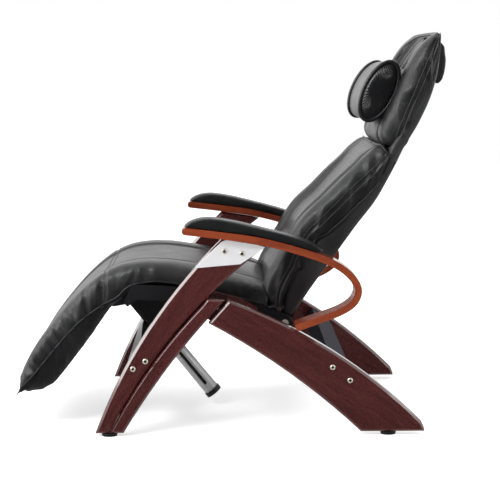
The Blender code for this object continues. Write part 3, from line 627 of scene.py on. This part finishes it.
class Surface:
    """The finished points of a lofted cover, on which seams and stitches are laid."""

    def __init__(self, loft, verts, obj):
        self.loft, self.verts, self.normals = loft, verts, normals_of(verts, obj)

    def lifted(self, indices, lift):
        """Points of the cover, moved out of it by lift."""
        return [self.verts[k] + self.normals[k] * lift for k in indices]

    def seam(self, seam, sign, lift, shift=0):
        """Points along a lengthwise seam, or shift mesh steps beside it."""
        place = self.loft.seams[seam] + shift
        return self.lifted([self.loft.index(station, place, sign)
                            for station in range(len(self.loft.rows))], lift)

    def cross(self, station, sign, last, lift):
        """Points across the cover at one station, from the middle to a place in the section."""
        return self.lifted([self.loft.index(station, i, sign) for i in range(last + 1)], lift)

    def piping(self, seam, lift, radius):
        """Cords along a seam on both sides."""
        return [tube("cord", self.seam(seam, s, lift), radius) for s in (-1, 1)]


SEAM_SOFTNESS = 1.5              # mesh steps over which a seam still holds the leather
STITCH_LIFT = 0.0002
SEAM_SHADOW_CORD_RADIUS = 0.0013             # of the dark cords laid in a seam as its painted shadow line


def hold(loft, seams):
    """Pin weights that fall off with the distance from the seams."""
    place = loft.places()[1]
    pin = np.zeros(len(loft.verts))
    for seam in seams:
        distance = np.abs(place - loft.seams[seam])
        pin = np.maximum(pin, np.clip(1 - distance / SEAM_SOFTNESS, 0, 1))
    return pin


def build_seat():
    """The seat and leg rest in one cover, with a seam across it at the knee."""
    loft = Loft(SEAT_STATIONS, SEAT_PANELS, SEAT_CENTRE)
    obj = new_object("seat_upholstery", loft.verts, loft.faces, LEATHER)
    station, place, _ = loft.places()
    count = len(loft.rows)
    knee = int(np.argmin(np.abs(loft.rows[:, 0] - KNEE_SEAM_X)))
    across = np.clip(1 - np.abs(station - knee) / SEAM_SOFTNESS, 0, 1)
    pin = np.maximum(hold(loft, (1, 2)), across * (place <= loft.seams[2]))
    pin[(station <= 1) | (station >= count - 2)] = 1.0
    pin[place > loft.seams[2] + 8] = 1.0
    side = bell(place, loft.seams[2] - 3, 8)
    low = np.clip((knee + 2 - station) / 4, 0.3, 1)
    folds(obj, loft, side * low, pitch=0.036, height=0.0110)
    folds(obj, loft, bell(place, loft.seams[2] + 5, 6) * low, pitch=0.040, height=0.0060,
          lean=25, seed=3.0)
    folds(obj, loft, bell(place, loft.seams[1] + 2, 9), pitch=0.030, height=0.0012,
          lean=86, stretch=9.0, seed=5.0)
    sink(obj, loft, 1, crossing=knee, reach=loft.seams[2])
    cover = Surface(loft, puff(obj, pin, 0.25 + 0.75 * side), obj)
    piping = joined("seat_piping", cover.piping(2, lift=0.0012, radius=0.0022))
    lines = []
    for s in (-1, 1):
        lines += [cover.seam(1, s, STITCH_LIFT, shift) for shift in (-1, 1)]
        lines += [cover.cross(at, s, loft.seams[2] - 1, STITCH_LIFT) for at in (knee - 1, knee + 1)]
    thread = stitches("seat_stitches", lines)
    subdivide(obj)
    for piece in (obj, piping, thread):
        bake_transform(piece)
    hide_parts("seat_cushion", "legrest_cushion", "knee_pad")


FOLD_LEVEL = 0.65                # folds rise by this share of their height, and sink by the rest
FOLD_SHARPNESS = 3.2


def folds(obj, loft, mask, *, pitch, height, lean=0.0, stretch=4.0, seed=0.0):
    """Sharp-crested folds across a lengthwise panel (lean 0) or along it (lean 90), which
    the simulation then relaxes."""
    step = loft.length / (len(loft.rows) - 1)
    c, s = math.cos(math.radians(lean)), math.sin(math.radians(lean))
    for vertex, station, place, side, share in zip(obj.data.vertices, *loft.places(), mask):
        if share > 0:
            u, v = station * step, place * GRID
            a, b = (u * c + v * s) / pitch, (v * c - u * s) / (pitch * stretch)
            value = noise.noise(Vector((a, b, seed + side * 7.0)))
            crest = FOLD_LEVEL - min(1.0, abs(value) * FOLD_SHARPNESS)
            vertex.co += vertex.normal * (crest * height * share)


SEAM_DEPTH = 0.0030
GROOVE_AT = 0.72                 # where up the loft a groove is deepest
GROOVE_REACH = 0.27


def sink(obj, loft, seam, crossing=None, reach=0, groove=0.0):
    """Pull a seam into the padding, with a groove high up, and one that crosses the loft."""
    count = len(loft.rows)
    for vertex, station, place in zip(obj.data.vertices, *loft.places()[:2]):
        if place == loft.seams[seam] or (station == crossing and place < reach):
            high = max(0.0, 1 - abs(station / count - GROOVE_AT) / GROOVE_REACH)
            vertex.co -= vertex.normal * (SEAM_DEPTH + groove * high)


def bell(values, middle, half):
    """A smooth weight, 1 at the middle and 0 at half away from it."""
    t = np.clip(1 - np.abs(values - middle) / half, 0, 1)
    return t * t * (3 - 2 * t)


# ---------------------------------------------------------------- back and head
BACK_STATIONS = [
    # front x, z, seam x, z, rear x, z, half, recess
    (120, 352, 154, 358, 160, 359, 250, 0),
    (108, 370, 149.5, 374, 156, 374, 258, 0),
    (103, 405, 154.5, 403, 163, 401, 260, 3),
    (112, 438, 165, 436, 179, 433, 261, 10),
    (128, 470, 180, 467, 198, 464, 262, 14),
    (137, 487, 188, 483, 220, 478, 262, 16),
    (146, 502, 195, 499, 211, 496, 262, 17),
    (162, 529, 206, 527, 227, 520, 262, 18),
    (196, 591, 233, 577, 256, 562, 261, 18),
    (225, 630, 265, 608, 290, 580, 260, 18),
    (271, 672, 306, 648, 330, 617, 260, 17),
    (325, 727, 360, 704, 385, 670, 258, 14),
    (370, 769, 408, 746, 432, 720, 255, 10),
    (407, 807, 440, 776, 453, 760, 251, 6),
    (438, 828, 458, 799, 464, 790, 246, 2),
    (462, 827, 469, 812, 473, 808, 238, 0),
]
BACK_PANELS = [
    [(0.0, 1.0), (0.30, 1.0), (0.62, 0.99), (0.72, 0.94)],
    [(0.72, 0.94), (0.76, 0.99), (0.82, 1.02), (0.88, 0.98), (0.935, 0.86), (0.970, 0.60),
     (0.99, 0.3), (1.0, 0.0)],
    [(1.0, 0.0), (1.0, -0.3), (0.99, -0.65), (0.965, -1.0)],
    [(0.965, -1.0), (0.90, -1.05), (0.5, -1.05), (0.0, -1.05)],
]


CROWN_REACH = 0.22               # share of the loft that is lifted
CROWN_EASE = 1.5
CROWN_CENTRE = 0.10              # half width of the centre, which sinks by the whole rise
CROWN_SLOPE = 0.09               # from there to where the bolsters are lifted in full
CROWN_SPAN = 1.7                 # from the sunken centre to the bolsters, in rises


def crown(obj, loft, rise):
    """Lift the bolsters' ends at the last stations, and lower the centre between them."""
    last = len(loft.rows) - 1
    for vertex, station in zip(obj.data.vertices, loft.places()[0]):
        top = max(0.0, 1 - (last - station) / (last * CROWN_REACH)) ** CROWN_EASE
        outward = min(1.0, max(0.0, (abs(vertex.co.y) - CROWN_CENTRE) / CROWN_SLOPE))
        vertex.co.z += rise * top * (CROWN_SPAN * outward - 1.0)


REST_CENTRE = 0.60               # share of the half width that is recessed


def build_rest(name, stations, panels, node, low=0.0, hem=None, groove=0.0, rise=0.0):
    """The back or the head: bolsters beside a recessed centre, a double-stitched seam along
    each side, a thin dark cord in the seam beside the centre as painted shade of its gap,
    and piping along each rear edge. low is the share of its length that bunches,
    and hem the number of stations from its top to a cord across it."""
    loft = Loft(stations, panels, REST_CENTRE)
    obj = new_object(name, loft.verts, loft.faces, LEATHER)
    station, place, _ = loft.places()
    count = len(loft.rows)
    pin = hold(loft, (1, 2, 3))
    pin[(station <= 1) | (station >= count - 2)] = 1.0
    pin[place >= loft.seams[3]] = 1.0
    side = bell(place, loft.seams[2], 8)
    bunched = np.clip((count * low - station) / 4, 0, 1)
    folds(obj, loft, side, pitch=0.046, height=0.0085, lean=50, stretch=3.0)
    folds(obj, loft, bunched * bell(place, loft.seams[2] - 4, 9), pitch=0.034, height=0.0090,
          lean=82, stretch=5.0, seed=2.0)
    folds(obj, loft, bell(place, loft.seams[1] + 4, 6), pitch=0.042, height=0.0016,
          lean=70, stretch=6.0, seed=5.0)
    sink(obj, loft, 2)
    sink(obj, loft, 1, groove=groove)
    crown(obj, loft, rise)
    cover = Surface(loft, puff(obj, pin, 0.3 + 0.7 * side), obj)
    cords = cover.piping(3, lift=0.0015, radius=0.0024)
    # painted shade: the cords along seam 1 are a thin dark line standing in for the shadow in the
    # seam's gap, not real piping
    cords += cover.piping(1, STITCH_LIFT, SEAM_SHADOW_CORD_RADIUS)
    if hem:
        cords += [tube("cord", cover.cross(count - hem, s, loft.seams[3], lift=0.0010), 0.0020)
                  for s in (-1, 1)]
    piping = joined(name + "_piping", cords)
    lines = [cover.seam(seam, s, STITCH_LIFT, shift)
             for s in (-1, 1) for seam in (1, 2) for shift in (-1, 1)]
    thread = stitches(name + "_stitches", lines)
    subdivide(obj)
    for piece in (obj, piping, thread):
        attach(piece, "back")
    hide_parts(node)


HEAD_STATIONS = [
    # front x, z, seam x, z, rear x, z, half, recess
    (464, 823, 485, 823, 513, 829, 220, 0),
    (453, 835, 491, 840, 520, 845, 228, 0),
    (443, 857, 499, 862, 526, 864, 231, 0),
    (448, 885, 509, 890, 535, 891, 231, 2),
    (466, 925, 526, 931, 552, 930, 231, 8),
    (485, 968, 542, 971, 572, 964, 230, 14),
    (503, 1012, 559, 1013, 588, 1006, 230, 21),
    (518, 1050, 575, 1050, 597, 1042, 229, 26),
    (537, 1087, 589, 1085, 604, 1078, 228, 28),
    (561, 1118, 599, 1112, 607, 1106, 226, 24),
    (585, 1137, 604, 1131, 608.5, 1127, 223, 12),
    (604, 1148, 607, 1145, 609, 1143, 219, 0),
]
HEAD_PANELS = [
    [(0.0, 1.08), (0.30, 1.08), (0.48, 1.07), (0.56, 1.02), (0.60, 0.90)],
    [(0.60, 0.90), (0.65, 0.96), (0.74, 1.0), (0.87, 0.95), (0.94, 0.78), (0.975, 0.5),
     (0.995, 0.2), (1.0, 0.0)],
    [(1.0, 0.0), (1.0, -0.35), (0.99, -0.7), (0.965, -1.0)],
    [(0.965, -1.0), (0.90, -1.05), (0.5, -1.05), (0.0, -1.05)],
]


# ---------------------------------------------------------------- rear cover
COVER_STATIONS = [
    # rear x, z, middle x, z, inner x, z, half, recess
    (190, 327, 179, 329, 166, 333, 244, 0),
    (217, 368, 192, 374, 162, 380, 249, 0),
    (253, 423, 220, 430, 180, 437, 251, 0),
    (286, 469, 248, 480, 203, 490, 251, 0),
    (320, 516, 282, 530, 235, 545, 251, 0),
    (375, 595, 345, 605, 310, 615, 250, 0),
    (433, 672, 408, 683, 380, 693, 249, 0),
    (479, 756, 460, 760, 440, 764, 245, 0),
    (514, 824, 496, 828, 475, 833, 234, 0),
    (553, 890, 540, 893, 520, 897, 227, 0),
    (585, 960, 573, 962, 555, 966, 226, 0),
    (605, 1025, 596, 1028, 582, 1030, 225, 0),
    (613, 1090, 606, 1090, 596, 1090, 223, 0),
    (613, 1125, 609, 1125, 602, 1124, 220, 0),
]
COVER_SPACING = 0.012
COVER_PANELS = [
    [(0.0, 1.0), (0.25, 1.0), (0.50, 1.0)],
    [(0.50, 1.0), (0.66, 1.0), (0.80, 1.0), (0.90, 0.95), (0.96, 0.78), (0.985, 0.5), (1.0, 0.0)],
    [(1.0, 0.0), (1.0, -0.5), (0.97, -0.95), (0.85, -1.0), (0.0, -1.0)],
]


def build_cover():
    """The leather shell over the rear of the back and head."""
    loft = Loft(COVER_STATIONS, COVER_PANELS, 0.0, COVER_SPACING)
    obj = new_object("rear_cover_leather", loft.verts, loft.faces, COVER_LEATHER)
    place = loft.places()[1]
    folds(obj, loft, bell(place, loft.seams[2], 6), pitch=0.060, height=0.0022,
          lean=75, stretch=5.0, seed=9.0)
    folds(obj, loft, bell(place, loft.seams[1] - 4, 9), pitch=0.080, height=0.0030,
          lean=35, stretch=3.0, seed=4.0)
    sink(obj, loft, 1)
    cover = Surface(loft, np.array([v.co for v in obj.data.vertices]), obj)
    lines = [cover.seam(1, s, STITCH_LIFT, shift) for s in (-1, 1) for shift in (-1, 1)]
    thread = stitches("cover_stitches", lines)
    subdivide(obj)
    for piece in (obj, thread):
        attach(piece, "back")
    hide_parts("back_cover")


# ---------------------------------------------------------------- pillow and counterweight
PILLOW_CENTRE = (0.4470 - DATUM_X, 0.9830)
PILLOW_ANGLE = math.atan2(0.132, 0.065)
PILLOW_SEMI = (0.0905, 0.0435)
PILLOW_END_Y = 0.147
PILLOW_SWELL = 0.035             # how much thicker it is in the middle, as a share
PILLOW_DOME = 0.012
BARREL_STEPS = 12
DOME_STEPS = 8
PLEATS = 23
PLEAT_STEPS = 8                  # vertices for each pleat
PLEAT_DEPTH = 0.0035
PLEAT_REACH = 0.62               # how far in from the rim the pleats go
RIM_SCALE = 1.02
RIM_RADIUS = 0.0060


def pillow_point(angle, scale, y):
    """A point on the pillow's oval section, scaled about its middle."""
    along = math.cos(angle) * PILLOW_SEMI[0] * scale
    across = math.sin(angle) * PILLOW_SEMI[1] * scale
    c, s = math.cos(PILLOW_ANGLE), math.sin(PILLOW_ANGLE)
    return (PILLOW_CENTRE[0] + along * c - across * s, y, PILLOW_CENTRE[1] + along * s + across * c)


def build_pillow():
    """A bolster with pleats gathered inside the piped rim of each end."""
    segments = PLEATS * PLEAT_STEPS
    barrel = []
    for i in range(BARREL_STEPS + 1):
        t = i / BARREL_STEPS
        y = -PILLOW_END_Y + 2 * PILLOW_END_Y * t
        barrel.append((y, 1.0 + PILLOW_SWELL * 4 * t * (1 - t), 0.0))
    dome = []
    for i in range(1, DOME_STEPS + 1):
        t = i / DOME_STEPS
        scale = 1.0 - t
        y = PILLOW_END_Y + PILLOW_DOME * math.sqrt(max(0.0, 1 - scale ** 2))
        dome.append((y, max(scale, 0.02), t))
    rows = [(-y, scale, t) for y, scale, t in reversed(dome)] + barrel + dome
    verts = []
    for y, scale, t in rows:
        pleat = math.sin(math.pi * min(1.0, t * 1.6)) ** 2 if 0 < t < PLEAT_REACH else 0.0
        for angle in circle(segments):
            wave = math.cos(angle * PLEATS) * (0.6 + 0.4 * math.sin(angle * 3 + 1.1))
            bulge = math.copysign(PLEAT_DEPTH * pleat * wave, y)
            verts.append(pillow_point(angle, scale, y + bulge))
    faces = ring_faces(len(rows), segments) + end_faces(len(rows), segments)
    obj = new_object("pillow_leather", verts, faces, PILLOW_LEATHER)
    subdivide(obj)
    rims = []
    for y in (-PILLOW_END_Y, PILLOW_END_Y):
        rim = [pillow_point(angle, RIM_SCALE, y) for angle in circle(72)]
        rims.append(tube("rim", rim, RIM_RADIUS, sides=10, closed=True))
    piping = joined("pillow_piping", rims)
    for piece in (obj, piping):
        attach(piece, "pillow")
    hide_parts("head_pillow")


PAD_VOXEL = 0.004
PAD_SMOOTHING = 6


def softened(node, name, material):
    """A pad made by smoothing a packed soft solid."""
    obj = refined(node, material, dissolve=False)
    obj.name = name
    modifier = obj.modifiers.new("round", "REMESH")
    modifier.mode = "VOXEL"
    modifier.voxel_size = PAD_VOXEL
    relax = obj.modifiers.new("relax", "SMOOTH")
    relax.factor = 0.5
    relax.iterations = PAD_SMOOTHING
    subdivide(obj)
    obj.data.shade_smooth()


# ---------------------------------------------------------------- wood, metal and plastic
ARM_LINE = [
    (-0.117, 0.599), (-0.015, 0.587), (0.092, 0.571), (0.200, 0.543), (0.290, 0.511),
    (0.342, 0.477), (0.3695, 0.436), (0.3600, 0.397), (0.322, 0.369), (0.262, 0.346),
    (0.194, 0.3215),
]
ARM_ROUNDING = 0.0075


def build_arm_loop(side):
    """The bent arm with rounded edges, and its grain running along the bend."""
    obj = refined(f"{side}_arm_loop", CHERRY, ARM_ROUNDING, segments=4)
    evaluated = obj.evaluated_get(bpy.context.evaluated_depsgraph_get())
    mesh = bpy.data.meshes.new_from_object(evaluated)
    obj.modifiers.clear()
    obj.data = mesh
    line = smooth_rows(ARM_LINE, 12) - np.array([DATUM_X, 0.0])
    along = lengths_along(line)
    attribute = mesh.attributes.new("grain", "FLOAT_VECTOR", "POINT")
    for vertex, value in zip(mesh.vertices, attribute.data):
        gaps = line - np.array([vertex.co.x, vertex.co.z])
        nearest = int(np.argmin(np.sum(gaps * gaps, axis=1)))
        way = line[min(nearest + 1, len(line) - 1)] - line[max(nearest - 1, 0)]
        gap = -gaps[nearest]
        offset = float(way[0] * gap[1] - way[1] * gap[0]) / float(np.linalg.norm(way))
        value.vector = (along[nearest], vertex.co.y, offset)


BOLT_PROFILE = [  # radius and height of the head's rings, from the rim inwards
    (0.0080, 0.0), (0.0080, 0.0012), (0.0075, 0.0022), (0.0064, 0.0030), (0.0052, 0.0034),
    (0.0042, 0.0035), (0.0040, 0.0033), (0.0040, 0.0010), (0.0014, 0.0008),
]
BOLT_HEAD = 0.0030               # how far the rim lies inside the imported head
SHANK_RADIUS = 0.0040
SHANK_EASING = 0.0002
SOCKET_RINGS = 3                 # the last rings of the profile, which are hexagons
BOLT_SEGMENTS = 24


def build_bolt(node):
    """A button head with a hexagon socket, on its shank."""
    low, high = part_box(node)
    centre = (low + high) / 2
    sign = 1 if centre.y > 0 else -1
    tip, face = (low.y, high.y) if sign > 0 else (high.y, low.y)
    rest = face - sign * BOLT_HEAD
    rings = [(SHANK_RADIUS - SHANK_EASING, tip), (SHANK_RADIUS, tip + sign * 0.001),
             (SHANK_RADIUS, rest)]
    rings += [(radius, rest + sign * height) for radius, height in BOLT_PROFILE]
    first_in_socket = len(rings) - SOCKET_RINGS
    verts = []
    for number, (radius, y) in enumerate(rings):
        for angle in circle(BOLT_SEGMENTS):
            reach = radius
            if number >= first_in_socket:
                corner = (angle % (math.pi / 3)) - math.pi / 6
                reach = radius * math.cos(math.pi / 6) / math.cos(corner)
            verts.append((centre.x + reach * math.cos(angle), y,
                          centre.z + reach * math.sin(angle)))
    faces = ring_faces(len(rings), BOLT_SEGMENTS) + end_faces(len(rings), BOLT_SEGMENTS)
    obj = new_object(f"{node}_finished", verts, faces, STEEL)
    # the socket's faces get the near-black material, painted shade inside the recess
    obj.data.materials.append(SOCKET_SHADE)
    for face in obj.data.polygons:
        if min(face.vertices) >= first_in_socket * BOLT_SEGMENTS:
            face.material_index = 1
    obj.data.set_sharp_from_angle(angle=BEVEL_ANGLE)
    stand_for(obj, node)


CHAMFER = 0.0070
EASED = 0.0012
SHORTEST_OUTLINE_EDGE = 0.0035   # the edges around bolt holes are shorter
BATTEN_EDGE = 0.0015


def build_board(node, material):
    """A board with a chamfer along its outline, and slightly eased edges everywhere."""
    board = refined(node, material)
    bm = bmesh.new()
    bm.from_mesh(board.data)
    weight = bm.edges.layers.float.new("bevel_weight_edge")
    for edge in bm.edges:
        level = abs(edge.verts[0].co.y - edge.verts[1].co.y) < 1e-5
        long = edge.calc_length() > SHORTEST_OUTLINE_EDGE
        if level and long and edge.calc_face_angle(0.0) > 1.0:
            edge[weight] = 1.0
    bm.to_mesh(board.data)
    bm.free()
    for name, width, segments, limit in (
            ("chamfer", CHAMFER, 1, "WEIGHT"), ("eased", EASED, 2, "ANGLE")):
        bevel = board.modifiers.new(name, "BEVEL")
        bevel.width = width
        bevel.segments = segments
        bevel.limit_method = limit
        bevel.angle_limit = math.radians(30)


def build_hardware():
    """The wooden, metal and plastic parts, and the pads of the arms."""
    for side in SIDES:
        for part, material in MAHOGANY.items():
            if part == "leg_batten":
                refined(f"{side}_{part}", material, BATTEN_EDGE)
            else:
                build_board(f"{side}_{part}", material)
        refined(f"{side}_arm_bracket", SATIN_METAL, 0.0008)
        build_arm_loop(side)
        softened(f"{side}_arm_pad", f"{side}_arm_pad_leather", ARM_LEATHER)
        for part in ("front_glide", "rear_glide"):
            refined(f"{side}_{part}", BLACK_PLASTIC, 0.001)
        for group in ("bracket", "front", "rear"):
            for number in (1, 2):
                build_bolt(f"{side}_{group}_bolt_{number}")
        refined(f"{side}_seat_pivot", STEEL, 0.0006)
        refined(f"{side}_back_pivot", STEEL, 0.0006)
        refined(f"{side}_crank_plate", BLACK_STEEL, 0.0008)
    for node, material, bevel, slot in (
            ("front_crossmember", GREY_STEEL, 0.0012, "grey_steel"),
            ("rear_crossmember", MATT_STEEL, 0.0012, "black_steel"),
            ("actuator_mount", BLACK_STEEL, 0.0010, "black_steel"),
            ("motor_housing", BLACK_PLASTIC, 0.0020, "black_plastic"),
            ("power_inlet", BLACK_PLASTIC, 0.0008, "black_plastic"),
            ("rail_tube", TUBE_METAL, 0.0006, "rail"),
            ("tube_end_cap", BLACK_PLASTIC, 0.0010, "black_plastic"),
            ("lead_screw", OILED_STEEL, 0.0005, "bolts"),
            ("screw_nut", STEEL, 0.0005, "bolts"),
            ("seat_frame", BLACK_STEEL, 0.0015, "black_steel"),
            ("seat_board", PLYWOOD, 0.0010, "plywood"),
            ("legrest_frame", BLACK_STEEL, 0.0010, "black_steel"),
            ("link_rod", BLACK_STEEL, 0.0008, "black_steel"),
            ("back_frame", BLACK_STEEL, 0.0010, "black_steel"),
            ("pillow_strap", WEBBING, 0.0003, "webbing")):
        refined(node, material, bevel)


# ---------------------------------------------------------------- stage
# The studio's brightness along y and z: from, to, and its values there
DEPTH_RAMP = (-0.80, 0.20, 0.04, 1.15)
HEIGHT_RAMP = (-0.30, 0.10, 0.30, 1.0)
FLOOR_GLOW = 0.52
LIGHTS = (
    # name, place, target, size, power
    ("key", (-1.9, -2.0, 2.8), (0.0, 0.0, 0.4), 1.0, 60),
    ("fill", (-3.2, -0.5, 2.0), (0.0, 0.0, 0.6), 2.6, 85),
    ("side", (3.0, -1.3, 1.2), (0.2, 0.0, 0.6), 1.3, 24),
    ("rim", (1.6, 1.8, 2.2), (0.2, 0.0, 0.7), 1.2, 18),
)
CAMERA_PLACE = (-0.0405, -3.66275, 1.05968)
CAMERA_DOWN = math.radians(8.8094)
CAMERA_YAW = math.radians(1.4667)
CAMERA_LENS = 86.149             # millimetres, on a sensor 36 millimetres wide


def build_world():
    """A white studio that is dark on the near side, so the dark leather isn't washed out."""
    world = bpy.data.worlds.new("studio")
    world.use_nodes = True
    tree = world.node_tree
    background = tree.nodes["Background"]
    towards = add_node(tree, "ShaderNodeTexCoord").outputs["Generated"]
    split = add_node(tree, "ShaderNodeSeparateXYZ", {"Vector": towards})
    depth, height = (
        add_node(tree, "ShaderNodeMapRange",
                 {"Value": split.outputs[axis], **dict(zip(RAMP_ENDS, ends))},
                 interpolation_type="SMOOTHSTEP").outputs["Result"]
        for axis, ends in (("Y", DEPTH_RAMP), ("Z", HEIGHT_RAMP)))
    both = add_node(tree, "ShaderNodeMath", {0: depth, 1: height}, operation="MULTIPLY")
    path = add_node(tree, "ShaderNodeLightPath")
    strength = add_node(tree, "ShaderNodeMix", {
        "Factor": path.outputs["Is Camera Ray"], "A": both.outputs["Value"], "B": 1.0})
    background.inputs["Color"].default_value = (1, 1, 1, 1)
    tree.links.new(strength.outputs["Result"], background.inputs["Strength"])
    bpy.context.scene.world = world


def floor_material():
    """Matt white, lit from below a little like a sheet on a light table."""
    material, shader = shader_material("floor", (0.92, 0.92, 0.92), 0.9)
    shader.inputs["Specular IOR Level"].default_value = 0.0
    shader.inputs["Emission Color"].default_value = (1, 1, 1, 1)
    shader.inputs["Emission Strength"].default_value = FLOOR_GLOW
    return material


def aimed(obj, place, direction):
    """Put a light or camera in the scene, looking in a direction."""
    obj.location = place
    obj.rotation_mode = "QUATERNION"
    obj.rotation_quaternion = direction.to_track_quat("-Z", "Y")
    bpy.context.scene.collection.objects.link(obj)


def build_stage():
    """Floor, world, lights and camera."""
    corners = [(x, y, 0) for x, y in ((-9, -9), (9, -9), (9, 9), (-9, 9))]
    floor = new_object("floor", corners, [(0, 1, 2, 3)], floor_material())
    floor.visible_glossy = False
    build_world()
    for name, place, target, size, power in LIGHTS:
        light = bpy.data.lights.new(name, "AREA")
        light.size = size
        light.energy = power
        aimed(bpy.data.objects.new(name, light), place, Vector(target) - Vector(place))
    camera = bpy.data.cameras.new("camera")
    camera.lens = CAMERA_LENS
    camera.sensor_width = 36.0
    eye = bpy.data.objects.new("camera", camera)
    level = math.cos(CAMERA_DOWN)
    aimed(eye, CAMERA_PLACE, Vector((math.sin(CAMERA_YAW) * level, math.cos(CAMERA_YAW) * level,
                                     -math.sin(CAMERA_DOWN))))
    bpy.context.scene.camera = eye
    bpy.context.scene.view_settings.view_transform = "Standard"


build_stage()
build_hardware()
build_seat()
build_rest("back_upholstery", BACK_STATIONS, BACK_PANELS, "back_cushion", low=0.36, hem=3)
build_rest("head_upholstery", HEAD_STATIONS, HEAD_PANELS, "head_cushion", groove=0.018, rise=0.008)
build_cover()
build_pillow()
softened("pillow_counterweight", "counterweight_leather", LEATHER)
